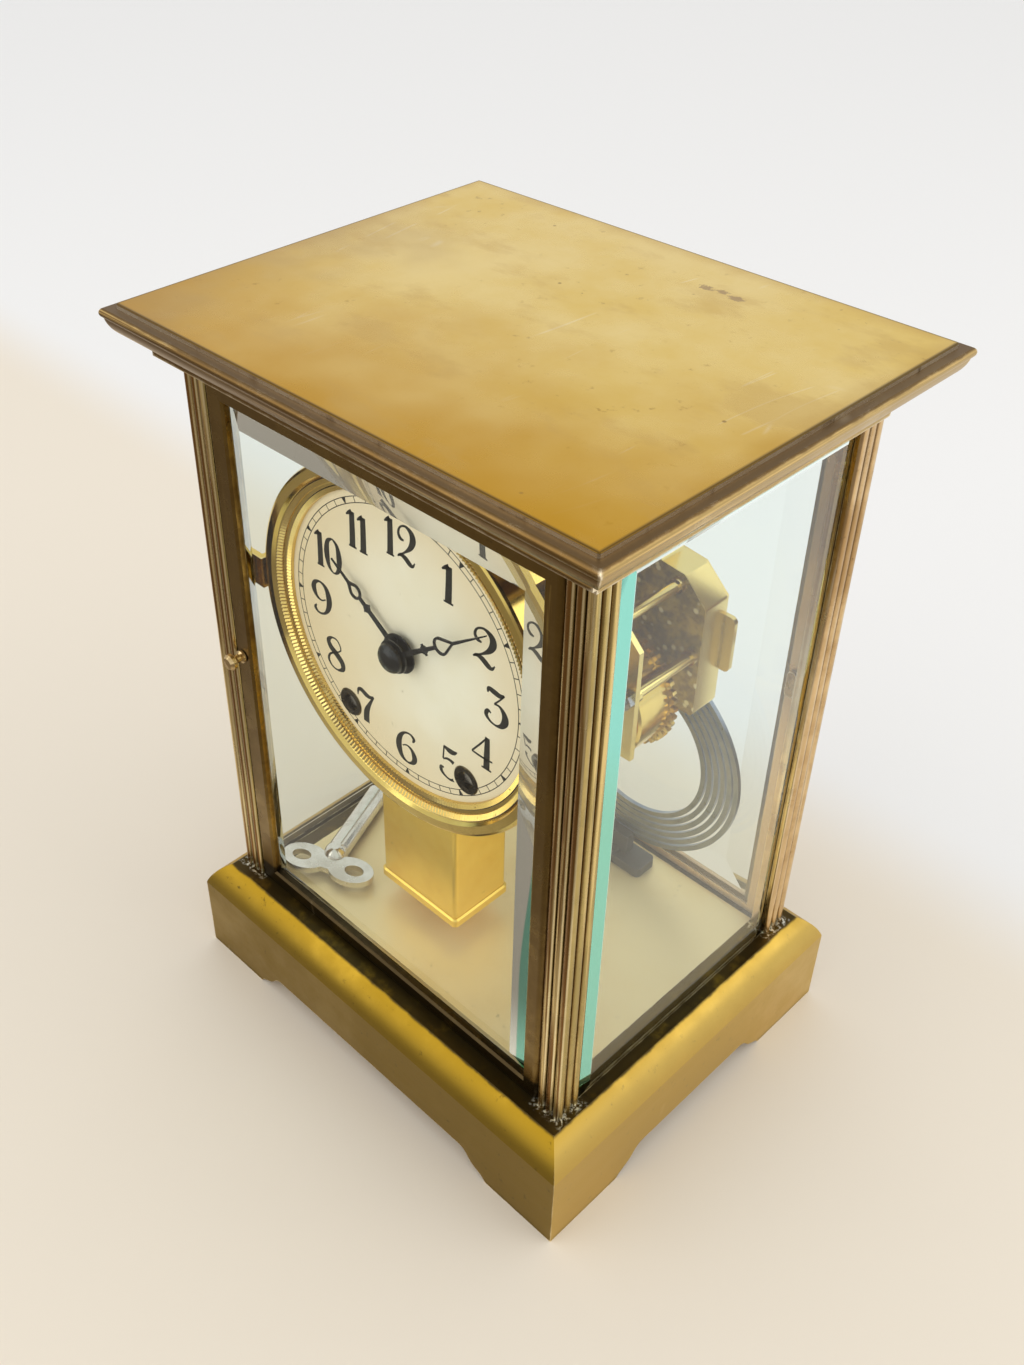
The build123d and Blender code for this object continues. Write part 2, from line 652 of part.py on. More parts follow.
def wind_places():
    return (time_at, strike_at)


def dial():
    face = disc(centre_at, DIAL_RADIUS, dial_y, dial_y + DIAL_THICK)
    face -= disc(centre_at, HOUR_PIPE + 0.8, dial_y - 1, dial_y + 2)
    for at in wind_places():
        face -= disc(at, GROMMET_RADIUS - GROMMET_WALL, dial_y - 1, dial_y + 2)
    return face


def dial_grommets():
    rings = []
    bore = GROMMET_RADIUS - 2 * GROMMET_WALL
    sleeve = GROMMET_RADIUS - GROMMET_WALL
    for at in wind_places():
        back = dial_y + DIAL_THICK + 1.2
        profile = [(bore, back), (sleeve, back), (sleeve, dial_y), (GROMMET_RADIUS, dial_y),
                   (GROMMET_RADIUS - 0.4, dial_y - 0.5), (bore + 0.3, dial_y - 0.5), (bore, dial_y - 0.2)]
        rings.append(turned(profile, at))
    return rings


def dial_backplate():
    plate = disc(centre_at, BEZEL_RADIUS - 2.0, bezel_back, backplate_back)
    plate -= disc(centre_at, HOUR_PIPE + 1.2, bezel_back - 1, backplate_back + 1)
    for at in wind_places():
        plate -= disc(at, GROMMET_RADIUS + 0.6, bezel_back - 1, backplate_back + 1)
    for at in dial_pillar_places():
        plate -= disc(at, DIAL_PILLAR_RADIUS * 0.6, bezel_back - 1, backplate_back + 1)
    return plate


def mounting_lugs():
    """Cranked brackets from the dial backplate to the rear of the front posts."""
    half = LUG_HEIGHT / 2
    z = (dial_z - half, dial_z + half)
    outer = BEZEL_RADIUS + 0.5
    tab_end = post_box_x - SIDE_GLASS_SETBACK - GLASS_THICK - 0.6
    tab_y = (-post_in_y, -post_in_y + LUG_THICK)
    tab = block((outer, tab_end), tab_y, z)
    riser = block((outer, outer + LUG_THICK), (tab_y[0], backplate_back + LUG_THICK), z)
    foot = block((BEZEL_RADIUS - 12, outer + LUG_THICK), (backplate_back, backplate_back + LUG_THICK), z)
    screw_x = (post_in_x + tab_end) / 2 + 0.4
    head = disc((screw_x, dial_z), 2.4, tab_y[1], tab_y[1] + 1.4)
    lug = fillet((tab + riser + foot).edges().filter_by(Axis.Y).group_by(Axis.X)[-1], 2.0) + head
    return both_sides(lug)


def dial_pillar_places():
    return [(sign * x, dial_z + rise) for x, rise in DIAL_PILLARS for sign in (1, -1)]


def dial_pillars():
    pillars = []
    for at in dial_pillar_places():
        low, high = backplate_back, PLATE_FRONT
        body = disc(at, DIAL_PILLAR_RADIUS, low, high)
        body += disc(at, DIAL_PILLAR_RADIUS * 0.6, bezel_back + 0.2, low)
        body += disc(at, DIAL_PILLAR_RADIUS + 0.9, high - 2.0, high)
        pillars.append(body)
    return pillars


# ---------------------------------------------------------------- movement frame
def plate_outline(grow=0.0):
    """Wide foot for the two barrels, chamfered shoulders and a narrower crown."""
    half = PLATE_HALF + grow
    crown = CROWN_HALF + grow
    right = [(half, plate_low - grow), (half, shoulder_z - SHOULDER_CHAMFER + grow * 0.4),
             (half - SHOULDER_CHAMFER + grow * 0.4, shoulder_z + grow), (crown, shoulder_z + 1 + grow),
             (crown, crown_z - 8 + grow * 0.4), (crown - 8 + grow * 0.4, crown_z + grow)]
    left = [(-x, z) for x, z in reversed(right)]
    return make_face(Polyline(*(right + left), close=True))


def pillar_places():
    side = PLATE_HALF - PILLAR_RADIUS - 0.3
    shoulder = PLATE_HALF - SHOULDER_CHAMFER - 1.5
    crown = CROWN_HALF - PILLAR_INSET
    return [(0, plate_low + PILLAR_RADIUS + 1.5),
            (side, wind_z + SIDE_PILLAR_RISE), (-side, wind_z + SIDE_PILLAR_RISE),
            (shoulder, shoulder_z - 4), (-shoulder, shoulder_z - 4),
            (crown, crown_z - 11), (-crown, crown_z - 11)]


def train_arbors():
    return [second_at, third_at, fourth_at, escape_at, pin_at, warn_at, fly_at]


def pierced(plate, y_front, y_back):
    """Pivot holes common to the front plate and the rear frame."""
    for at in train_arbors():
        plate -= disc(at, ARBOR + RUN, y_front, y_back)
    plate -= disc(centre_at, CENTRE_ARBOR + RUN, y_front, y_back)
    for at in wind_places():
        plate -= disc(at, WIND_ARBOR + RUN, y_front, y_back)
    plate -= disc(hammer_at, ARBOR + RUN, y_front, y_back)
    for at in pillar_places():
        plate -= disc(at, PILLAR_RADIUS * 0.5, y_front, y_back)
    return plate


def front_plate():
    plate = pierced(slab(plate_outline(), PLATE_FRONT, plate_back), PLATE_FRONT - 1, plate_back + 1)
    return plate - disc(pallet_at, ARBOR + RUN, PLATE_FRONT - 1, plate_back + 1)


def rear_frame():
    """Cast frame: a web against the train and a deep rim behind it."""
    body = slab(plate_outline(), frame_front, frame_back)
    body = fillet(body.edges().filter_by(Axis.Y), 1.5)
    body -= slab(plate_outline(-FRAME_RIM), frame_front + FRAME_WEB, frame_back + 1)
    slot = (plate_low - 5, plate_low + FRAME_RIM + 1)
    body -= block(hammer_slot(), (frame_front + FRAME_WEB, frame_back + 1), slot)
    return pierced(body, frame_front - 1, frame_front + FRAME_WEB + 1)


def hammer_slot():
    reach = (hammer_at[1] - plate_low) / math.sin(math.radians(-HAMMER_BEARING))
    end = toward(hammer_at, HAMMER_BEARING, reach)
    return (end[0] - 9, end[0] + 9)


def rear_cover():
    """Thin cover on the rim, with an ear at each side."""
    plate = slab(plate_outline(-0.6), frame_back, frame_back + COVER_THICK)
    mid = plate_low + 0.5 * (shoulder_z - SHOULDER_CHAMFER - plate_low) + 3.5
    ear = block((PLATE_HALF - 6, PLATE_HALF + EAR_REACH), (frame_back, frame_back + COVER_THICK),
                (mid - EAR_HEIGHT / 2, mid + EAR_HEIGHT / 2))
    ear = fillet(ear.edges().filter_by(Axis.Y).group_by(Axis.X)[-1], 2.0)
    for side in both_sides(ear):
        plate += side
    return plate


def plate_pillars():
    pillars = []
    for at in pillar_places():
        shaft = disc(at, PILLAR_RADIUS * 0.72, plate_back, frame_front)
        collars = disc(at, PILLAR_RADIUS, plate_back, plate_back + 2) + disc(
            at, PILLAR_RADIUS, frame_front - 2, frame_front)
        pillars.append(shaft + collars)
    return pillars


def pillar_nuts():
    """Hexagon nuts and stud ends outside the front plate."""
    nuts = []
    for at in pillar_places():
        nut = slab(Pos(*at) * RegularPolygon(PILLAR_RADIUS + 0.4, 6), PLATE_FRONT - 2.0, PLATE_FRONT)
        nuts.append(nut + disc(at, PILLAR_RADIUS * 0.5, PLATE_FRONT - 2.8, plate_back))
    return nuts


# ---------------------------------------------------------------- time train
def arbor_rod(at, radius=ARBOR):
    return disc(at, radius, pivot_front, pivot_back)


def barrel(at, mate):
    """Mainspring barrel with its great wheel, free to turn on the winding arbor."""
    drum = disc(at, BARREL_RADIUS, drum_y, great_y)
    drum = chamfer(drum.edges().filter_by(GeomType.CIRCLE).sort_by(Axis.Y)[0], 0.8)
    drum += wheel(at, GREAT_TEETH, GREAT_MODULE, bearing(at, mate), great_y, 0.01, arms=0, thick=2.0)
    drum += disc(at, WIND_ARBOR + 2.2, drum_y - 0.8, great_y + 2.8)
    groove = tube(at, BARREL_RADIUS - 3.0, WIND_ARBOR + 4.5, drum_y - 0.1, drum_y + 0.7)
    return drum - groove - disc(at, WIND_ARBOR + RUN, drum_y - 2, great_y + 4)


def ratchet_outline():
    """Saw-toothed ratchet."""
    points = []
    for i in range(RATCHET_TEETH):
        a = math.radians(i * 360 / RATCHET_TEETH)
        b = math.radians((i + 0.12) * 360 / RATCHET_TEETH)
        points.append(((RATCHET_RADIUS - 1.4) * math.cos(a), (RATCHET_RADIUS - 1.4) * math.sin(a)))
        points.append((RATCHET_RADIUS * math.cos(b), RATCHET_RADIUS * math.sin(b)))
    return make_face(Polyline(*points, close=True))


def winding_arbor(at):
    """Barrel arbor: ratchet outside the front plate and a long winding square to the dial."""
    square = WIND_ARBOR * 1.25
    rod = disc(at, WIND_ARBOR, PLATE_FRONT - 8, frame_front + FRAME_WEB)
    rod += slab(Pos(*at) * Rectangle(square * 1.2, square * 1.2), dial_y + 1.0, PLATE_FRONT - 7)
    return rod + slab(Pos(*at) * ratchet_outline(), PLATE_FRONT - 2.2, PLATE_FRONT - 0.4)


def click(at, sign):
    """Pawl beside the ratchet, pivoted on a shouldered screw in the plate."""
    pivot = toward(at, 90 - sign * 38, RATCHET_RADIUS + 6.0)
    back = PLATE_FRONT - 0.4
    body = disc(pivot, 2.2, back - 1.6, back)
    tip = toward(at, 90 + sign * 4, RATCHET_RADIUS + 0.9)
    body += slab(bar(pivot, tip, 1.7), back - 1.6, back)
    return body - disc(pivot, 1.0 + RUN, back - 3, back + 1)


def click_screw(at, sign):
    pivot = toward(at, 90 - sign * 38, RATCHET_RADIUS + 6.0)
    under_head = PLATE_FRONT - 2.3
    return disc(pivot, 1.0, under_head, PLATE_FRONT) + disc(pivot, 2.0, under_head - 1.0, under_head)


def second_wheel():
    at = second_at
    body = arbor_rod(at) + wheel(at, SECOND_TEETH, SECOND_MODULE, bearing(at, centre_at), second_y, 0.01)
    return body + pinion(at, LEAVES, GREAT_MODULE, against(bearing(time_at, at), LEAVES),
                         great_y - 1.0, great_y + 4.0)


def centre_wheel():
    """Centre wheel, its pinion and the long arbor that reaches through the dial."""
    at = centre_at
    rod = disc(at, CENTRE_ARBOR, nut_y() - NUT_HEIGHT * 0.35, pivot_back)
    rod += wheel(at, CENTRE_TEETH, CENTRE_MODULE, bearing(at, third_at), centre_y, 0.01)
    return rod + pinion(at, LEAVES, SECOND_MODULE, against(bearing(second_at, at), LEAVES),
                        second_y - 0.6, second_y + 3.0)


def third_wheel():
    at = third_at
    body = arbor_rod(at) + wheel(at, THIRD_TEETH, THIRD_MODULE, bearing(at, fourth_at), third_y, 0.01)
    return body + pinion(at, LEAVES, CENTRE_MODULE, against(bearing(centre_at, at), LEAVES),
                         centre_y - 1.0, centre_y + 3.0)


def fourth_wheel():
    at = fourth_at
    body = arbor_rod(at) + wheel(at, FOURTH_TEETH, FOURTH_MODULE, bearing(at, escape_at), fourth_y, 0.01)
    return body + pinion(at, LEAVES, THIRD_MODULE, against(bearing(third_at, at), LEAVES),
                         third_y - 1.0, third_y + 3.0)


def escape_wheel():
    """Escape wheel ahead of the front plate, with pointed, raked teeth."""
    at = escape_at
    y = PLATE_FRONT - ESCAPE_OUT - 1.0
    pitch = 360 / ESCAPE_TEETH
    points = []
    for i in range(ESCAPE_TEETH):
        a = 90 + (i + 0.5) * pitch
        for share, depth in ((0.0, 0.0), (0.30, 2.0), (0.86, 2.0)):
            radius = ESCAPE_RADIUS - depth
            t = math.radians(a + share * pitch)
            points.append((radius * math.cos(t), radius * math.sin(t)))
    face = crossed(make_face(Polyline(*points, close=True)), 2.6, ESCAPE_RADIUS - 3.2, 4, 1.6)
    body = slab(Pos(*at) * face, y, y + 1.0)
    body += disc(at, ARBOR, y - 2.6, pivot_back)
    return body + pinion(at, LEAVES, FOURTH_MODULE, against(bearing(fourth_at, at), LEAVES),
                         fourth_y - 1.0, fourth_y + 3.0)


def escape_cock():
    """Bridge carrying the front pivot of the escape wheel and the pallet arbor."""
    y1 = PLATE_FRONT - COCK_OUT
    y0 = y1 - 1.8
    at = escape_at
    x = at[0]
    reach = ESCAPE_RADIUS + 4.0
    mid = (x + reach, (at[1] + pivot_z) / 2)
    arm = slab(Pos(*mid) * Rectangle(5, pivot_z - at[1] + 4.6), y0, y1)
    low = slab(Pos(x + reach / 2, at[1]) * Rectangle(reach + 5, 4.6), y0, y1)
    high = slab(Pos(x + reach / 2, pivot_z) * Rectangle(reach + 5, 4.6), y0, y1)
    foot = disc(mid, 2.4, y1, PLATE_FRONT)
    body = arm + low + high + foot
    body -= disc(at, ARBOR + RUN, y0 - 1, y1 + 1)
    return body - disc(pallet_at, ARBOR + RUN, y0 - 1, y1 + 1)


# ---------------------------------------------------------------- pallets and pendulum
def anchor():
    """Recoil anchor on the pallet arbor, with the crutch that steers the pendulum rod."""
    x, z = pallet_at
    y1 = PLATE_FRONT - ANCHOR_OUT
    y0 = y1 - 1.8
    tangent = math.degrees(math.acos(ESCAPE_RADIUS / ESCAPE_DROP))
    body = disc(pallet_at, 2.4, y0, y1)
    for sign in (1, -1):
        spot = toward(escape_at, 90 + sign * tangent, ESCAPE_RADIUS + PALLET_CLEAR)
        knee = (x - sign * (ESCAPE_RADIUS * 0.93), z - ESCAPE_DROP * 0.30)
        body += slab(bar(pallet_at, knee, 2.4), y0, y1)
        body += slab(bar(knee, spot, 1.9), y0, y1)
    body += disc(pallet_at, ARBOR, PENDULUM_Y + ROD_THICK + 2.4, plate_back + 0.3)
    crutch_y = PENDULUM_Y + ROD_THICK + 2.4
    fork_z = z - CRUTCH_DROP
    body += block((x - 0.8, x + 0.8), (crutch_y, crutch_y + 1.2), (fork_z - 1, z))
    gap = ROD_WIDTH / 2 + 0.35
    for sign in (1, -1):
        low, high = sorted((x + sign * gap, x + sign * (gap + 1.0)))
        body += block((low, high), (PENDULUM_Y - 1.2, crutch_y + 1.2), (fork_z - 1, fork_z + 1))
    return body + block((x - gap - 1, x + gap + 1), (crutch_y, crutch_y + 1.2), (fork_z - 1, fork_z + 1))


def bar(start, end, width):
    """Straight bar with round ends between two points in XZ."""
    a = bearing(start, end)
    reach = math.dist(start, end)
    mid = toward(start, a, reach / 2)
    return Pos(*mid) * Rot(0, 0, a) * SlotCenterToCenter(reach, width)


def suspension_cock():
    """Bracket at the top of the front plate whose slit holds the suspension spring."""
    x = PENDULUM_X
    z0 = pivot_z + COCK_RISE
    foot_half, arm_half = COCK_FOOT[0] / 2, COCK_ARM[0] / 2
    foot = block((x - foot_half, x + foot_half), (PLATE_FRONT - COCK_FOOT[1], PLATE_FRONT), (z0, crown_z))
    arm = block((x - arm_half, x + arm_half), (PENDULUM_Y - 3.5, PLATE_FRONT), (z0, z0 + COCK_ARM[1]))
    slit = block((x - 2.6, x + 2.6), (PENDULUM_Y - 0.55, PENDULUM_Y + 0.55), (z0 - 1, z0 + COCK_ARM[1] + 2))
    return rounded(arm, 1.0) + foot - slit


def suspension_spring():
    x, y = PENDULUM_X, PENDULUM_Y
    z0, z1 = pivot_z - SPRING_LONG[0], pivot_z + SPRING_LONG[1]
    blade = block((x - 1.9, x + 1.9), (y - 0.15, y + 0.15), (z0, z1))
    chop = block((x - 2.3, x + 2.3), (y - 0.9, y + 0.9), (pivot_z - CHOP[0], pivot_z - CHOP[1]))
    return blade + chop


def bob_top():
    return base_top + BOB_CLEAR + BOB_HEIGHT


def pendulum_rod():
    x = PENDULUM_X
    low = bob_top() - BOB_HEIGHT - NUT_ROOM
    joint = bob_top() + 3
    thick = (PENDULUM_Y - ROD_THICK / 2, PENDULUM_Y + ROD_THICK / 2)
    strip = block((x - ROD_WIDTH / 2, x + ROD_WIDTH / 2), thick, (joint, pivot_z - CHOP[0]))
    return strip + block_z(x, PENDULUM_Y, 1.0, low, joint)


def pendulum_bob():
    """Heavy cased block with moulded caps, bored for the rod."""
    x, z1 = PENDULUM_X, bob_top()
    z0 = z1 - BOB_HEIGHT
    half_w, half_d = BOB_WIDTH / 2, BOB_DEPTH / 2
    middle = Pos(x, PENDULUM_Y, (z0 + z1) / 2)
    core = rounded(middle * Box(BOB_WIDTH - 1.6, BOB_DEPTH - 1.6, BOB_HEIGHT), 1.6)
    for low, high in ((z0, z0 + BOB_CAP), (z1 - BOB_CAP, z1)):
        cap = block((x - half_w, x + half_w), (PENDULUM_Y - half_d, PENDULUM_Y + half_d), (low, high))
        core += chamfer(rounded(cap, 2.0).edges().filter_by(Plane.XY), 0.6)
    return core - block_z(x, PENDULUM_Y, 1.0 + RUN, z0 - 1, z1 + 1)


def rating_nut():
    z = bob_top() - BOB_HEIGHT
    x, y = PENDULUM_X, PENDULUM_Y
    nut = block_z(x, y, 4.0, z - 2.6, z - 0.2) + block_z(x, y, 2.2, z - 4.0, z - 2.6)
    return nut - block_z(x, y, 1.0 + RUN, z - 6, z + 1)


# ---------------------------------------------------------------- motion work and hands
def nut_y():
    """Where the hand nut meets the minute hand."""
    return dial_y - 5.4


def cannon_pinion():
    y1 = PLATE_FRONT - 0.6
    pipe = disc(centre_at, CANNON_PIPE, nut_y(), y1)
    phase = against(MINUTE_BEARING + 180, CANNON_TEETH)
    pipe += pinion(centre_at, CANNON_TEETH, MOTION_MODULE, phase, y1 - 3.4, y1)
    return pipe - disc(centre_at, CENTRE_ARBOR + RUN, nut_y() - 1, y1 + 1)


def minute_wheel():
    y1 = PLATE_FRONT - 1.2
    y0 = y1 - WHEEL_THICK
    phase = against(bearing(centre_at, minute_at), MINUTE_LEAVES)
    body = wheel(minute_at, MINUTE_TEETH, MOTION_MODULE, bearing(minute_at, centre_at), y0, 0.01)
    body += pinion(minute_at, MINUTE_LEAVES, hour_module, phase, PLATE_FRONT - STUD_REACH + 0.4, y0)
    return body - disc(minute_at, ARBOR + RUN, PLATE_FRONT - STUD_REACH - 1, y1 + 1)


def minute_stud():
    """Stud in the front plate that carries the minute wheel."""
    tip = PLATE_FRONT - STUD_REACH
    stud = disc(minute_at, ARBOR, tip, PLATE_FRONT)
    stud += disc(minute_at, ARBOR * 2, PLATE_FRONT - 1.0, PLATE_FRONT)
    return stud + disc(minute_at, ARBOR * 1.8, tip - 0.8, tip)


def plate_studs():
    """Steel fastenings of the front plate: pillar nuts, click screws and the minute stud."""
    return pillar_nuts() + [click_screw(time_at, 1), click_screw(strike_at, -1), minute_stud()]


def hour_wheel():
    y1 = PLATE_FRONT - 5.2
    body = wheel(centre_at, HOUR_TEETH, hour_module, bearing(centre_at, minute_at), y1 - WHEEL_THICK, 0.01)
    body += disc(centre_at, HOUR_PIPE, hour_hand_y(), y1)
    return body - disc(centre_at, CANNON_PIPE + RUN, hour_hand_y() - 1, y1 + 1)


def hour_hand_y():
    return dial_y - 2.6


def drop(y, radius, point):
    """Drop shape: round towards the hub and drawn out to a point."""
    rise = point - y
    x, z = radius * math.sqrt(1 - (radius / rise)**2), y + radius**2 / rise
    return Pos(0, y) * Circle(radius) + make_face(Polyline((x, z), (0, point), (-x, z), close=True))


def hand(length, angle, y_back, pipe, loop):
    """Slim hand: disc, arm with a bead, open drop-shaped loop and a drawn-out point."""
    bead, near, far, width = loop
    w = HAND_WIDTH
    middle = near + width / 2
    arm = Trapezoid(w * 2.0, near + 0.4, 88.6, 88.6, align=(Align.CENTER, Align.MIN))
    knot = Circle(w * 1.25) + Rectangle(w * 3.4, w * 0.55)
    point = make_face(Polyline((-w * 0.5, far - 2.6), (w * 0.5, far - 2.6), (0.16, length), (-0.16, length),
                               close=True))
    face = Circle(pipe + HAND_BOSS) + arm + Pos(0, bead) * knot + drop(middle, width / 2, far) + point
    face -= drop(middle, width / 2 - LOOP_WIRE, far - 2 * LOOP_WIRE)
    face -= Circle(pipe)
    return slab(Pos(*centre_at) * Rot(0, 0, -angle) * face, y_back - HAND_THICK, y_back)


def minute_hand():
    return hand(MINUTE_HAND, MINUTE_ANGLE, nut_y() + HAND_THICK + 0.9, CANNON_PIPE, MINUTE_LOOP)


def hour_hand():
    return hand(HOUR_HAND, HOUR_ANGLE, hour_hand_y() + HAND_THICK + 0.3, HOUR_PIPE, HOUR_LOOP)


def hand_nut():
    """Domed nut over the minute hand."""
    y1 = nut_y() + 0.9
    y0 = nut_y() - NUT_HEIGHT
    profile = [(CANNON_PIPE, y1), (NUT_RADIUS * 0.86, y1), (NUT_RADIUS, y1 - 0.8)]
    for step in range(1, 6):
        a = step / 5 * math.pi / 2
        profile.append((NUT_RADIUS * math.cos(a), y1 - 0.8 - (y1 - 0.8 - y0) * math.sin(a)))
    bore, bottom = CENTRE_ARBOR + RUN, nut_y() - NUT_HEIGHT * 0.35 - 0.4
    profile += [(0, bottom), (bore, bottom), (bore, nut_y() - 0.05), (CANNON_PIPE, nut_y() - 0.05)]
    return turned(profile, centre_at)


# ---------------------------------------------------------------- strike train
def pin_wheel():
    at = pin_at
    body = arbor_rod(at) + wheel(at, PIN_WHEEL_TEETH, PIN_WHEEL_MODULE, bearing(at, warn_at), second_y, 0.01)
    for i in range(8):
        pin = toward(at, i * 45, PIN_WHEEL_TEETH * PIN_WHEEL_MODULE / 2 - 1.7)
        body += disc(pin, 0.6, second_y, second_y + 2.6)
    return body + pinion(at, LEAVES, GREAT_MODULE, against(bearing(strike_at, at), LEAVES),
                         great_y - 1.0, great_y + 4.0)


def warning_wheel():
    at = warn_at
    body = arbor_rod(at) + wheel(at, WARN_TEETH, WARN_MODULE, bearing(at, fly_at), warn_y, 0.01)
    return body + pinion(at, LEAVES, PIN_WHEEL_MODULE, against(bearing(pin_at, at), LEAVES),
                         second_y - 0.8, second_y + 2.8)


def fly():
    """Air brake that steadies the strike."""
    at = fly_at
    y0, y1 = warn_y + 4, warn_y + 13
    blade = block((at[0] - FLY_RADIUS, at[0] + FLY_RADIUS), (y0, y1), (at[1] - 0.25, at[1] + 0.25))
    body = arbor_rod(at) + blade + disc(at, 1.5, y0, y1)
    phase = against(bearing(warn_at, at), LEAVES)
    return body + pinion(at, LEAVES, WARN_MODULE, phase, warn_y - 1.0, warn_y + 2.6)


def hammer():
    """Hammer arbor with its rod behind the frame and a leather-faced brass head."""
    y = frame_front + FRAME_WEB + 3.0
    head_at = toward(hammer_at, HAMMER_BEARING, HAMMER_LENGTH)
    body = disc(hammer_at, ARBOR, pivot_front, y + 2.2) + disc(hammer_at, 2.0, y - 1.0, y + 2.2)
    body += slab(bar(hammer_at, head_at, 1.6), y - 0.4, y + 1.0)
    head = Pos(head_at[0], y + 0.3, head_at[1]) * Cylinder(HAMMER_HEAD, HAMMER_HEAD_LENGTH)
    head = fillet(head.edges().filter_by(GeomType.CIRCLE), HAMMER_HEAD * 0.55)
    return body + head


# ---------------------------------------------------------------- gong
def gong_coil():
    """Flat wire coil that ends on the left, gripped by its stand at the foot."""
    pitch = (GONG_RADIUS - GONG_INNER) / GONG_TURNS
    span = 4 * GONG_RADIUS
    pieces = []
    for half_turn in range(2 * GONG_TURNS):
        upper = half_turn % 2 == 0
        r = GONG_RADIUS - half_turn * pitch / 2
        ring = Circle(r) - Circle(r - GONG_WIRE)
        side = Pos(0, span / 2 if upper else -span / 2) * Rectangle(span, span)
        pieces.append(Pos(0 if upper else pitch / 2, 0) * (ring & side))
    return slab(Pos(GONG_X, gong_z) * fused(*pieces), GONG_Y - GONG_THICK / 2, GONG_Y + GONG_THICK / 2)


def gong_stand():
    """Cast foot and upright clamping the outer end of the coil."""
    x = GONG_X
    pitch = (GONG_RADIUS - GONG_INNER) / GONG_TURNS
    low_coil = gong_z - GONG_RADIUS + pitch / 2
    width, depth, thick = GONG_FOOT
    back = GONG_Y + GONG_THICK
    foot = block((x - width / 2, x + width / 2), (back - depth, back), (base_top, base_top + thick))
    half = GONG_CLAMP / 2
    top = low_coil + GONG_WIRE
    clamp = block((x - half, x + half), (GONG_Y - half, GONG_Y - GONG_THICK / 2), (base_top, top))
    screw = block_z(x, back - depth * 0.72, SCREW_RADIUS, base_top + thick, base_top + thick + 1.2)
    return rounded(foot, 2.0) + clamp + screw


# ---------------------------------------------------------------- key
def winding_key():
    """Double-winged key lying on the floor plate, square socket in the barrel."""
    square = WIND_ARBOR * 1.5 + 0.3
    start = 3.0
    barrel_part = Rot(0, 90, 0) * Cylinder(KEY_BARREL, KEY_LENGTH - start)
    barrel_part = Pos((start + KEY_LENGTH) / 2, 0, 0) * barrel_part
    barrel_part -= Pos(KEY_LENGTH, 0, 0) * Box(26, square, square)
    collar = Pos(4.0, 0, 0) * Sphere(KEY_BARREL * 1.1)
    wing = Pos(0, KEY_WING / 2 + 0.6) * Ellipse(6.2, KEY_WING / 2)
    hole = Pos(0, KEY_WING / 2 + 2.0) * Ellipse(2.6, KEY_WING / 2 - 5.2)
    flat = wing - hole + mirror(wing - hole, about=Plane.XZ) + Pos(1.5, 0) * Rectangle(9, 7.5)
    wings = Pos(-2.5, 0, -1.3) * extrude(flat, amount=2.6)
    key = (barrel_part + collar) & Box(4 * KEY_LENGTH, 2 * KEY_LENGTH, 2 * KEY_BARREL)
    key = key + wings
    x = -(post_box_x - SIDE_GLASS_SETBACK - GLASS_THICK - KEY_SIDE)
    y = -(post_in_y - KEY_FRONT)
    return Pos(x, y, base_top + KEY_BARREL) * (Rot(0, 0, 90 + KEY_TURN) * key)


# ---------------------------------------------------------------- nodes
nodes = {
    "base_plinth": base_plinth(),
    "floor_plate": floor_plate(),
    "cornice": cornice(),
    "top_plate": top_plate(),
    "case_screws": case_screws(),
    "side_glass_right": side_glass(1),
    "side_glass_left": side_glass(-1),
    "front_door_frame": door_frame(),
    "front_glass": front_glass(),
    "front_latch": latch(),
    "rear_door_frame": to_rear(door_frame()),
    "rear_glass": to_rear(front_glass()),
    "rear_latch": to_rear(latch()),
    "bezel": bezel(),
    "milled_ring": milled_ring(),
    "dial": dial(),
    "dial_grommets": dial_grommets(),
    "dial_backplate": dial_backplate(),
    "mounting_lugs": mounting_lugs(),
    "dial_pillars": dial_pillars(),
    "front_plate": front_plate(),
    "rear_frame": rear_frame(),
    "rear_cover": rear_cover(),
    "plate_pillars": plate_pillars(),
    "plate_studs": plate_studs(),
    "time_barrel": barrel(time_at, second_at),
    "time_winding_arbor": winding_arbor(time_at),
    "time_click": click(time_at, 1),
    "second_wheel": second_wheel(),
    "centre_wheel": centre_wheel(),
    "third_wheel": third_wheel(),
    "fourth_wheel": fourth_wheel(),
    "escape_wheel": escape_wheel(),
    "escape_cock": escape_cock(),
    "anchor": anchor(),
    "suspension_cock": suspension_cock(),
    "pendulum_rod": [suspension_spring(), pendulum_rod()],
    "pendulum_bob": pendulum_bob(),
    "rating_nut": rating_nut(),
    "cannon_pinion": cannon_pinion(),
    "minute_wheel": minute_wheel(),
    "hour_wheel": hour_wheel(),
    "minute_hand": minute_hand(),
    "hour_hand": hour_hand(),
    "hand_nut": hand_nut(),
    "strike_barrel": barrel(strike_at, pin_at),
    "strike_winding_arbor": winding_arbor(strike_at),
    "strike_click": click(strike_at, -1),
    "pin_wheel": pin_wheel(),
    "warning_wheel": warning_wheel(),
    "fly": fly(),
    "hammer": hammer(),
    "gong_coil": gong_coil(),
    "gong_stand": gong_stand(),
    "winding_key": winding_key(),
}
for post_name in post_places():
    nodes["post_" + post_name] = post(post_name)

for name, shape in nodes.items():
    solids = [piece.solid() for piece in shape] if isinstance(shape, list) else shape.solids()
    export_step(Compound(label=name, children=solids), f"parts/{name}.step")
print(len(nodes), "nodes")
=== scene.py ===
import bpy
import bmesh
import math
from mathutils import Matrix, Vector


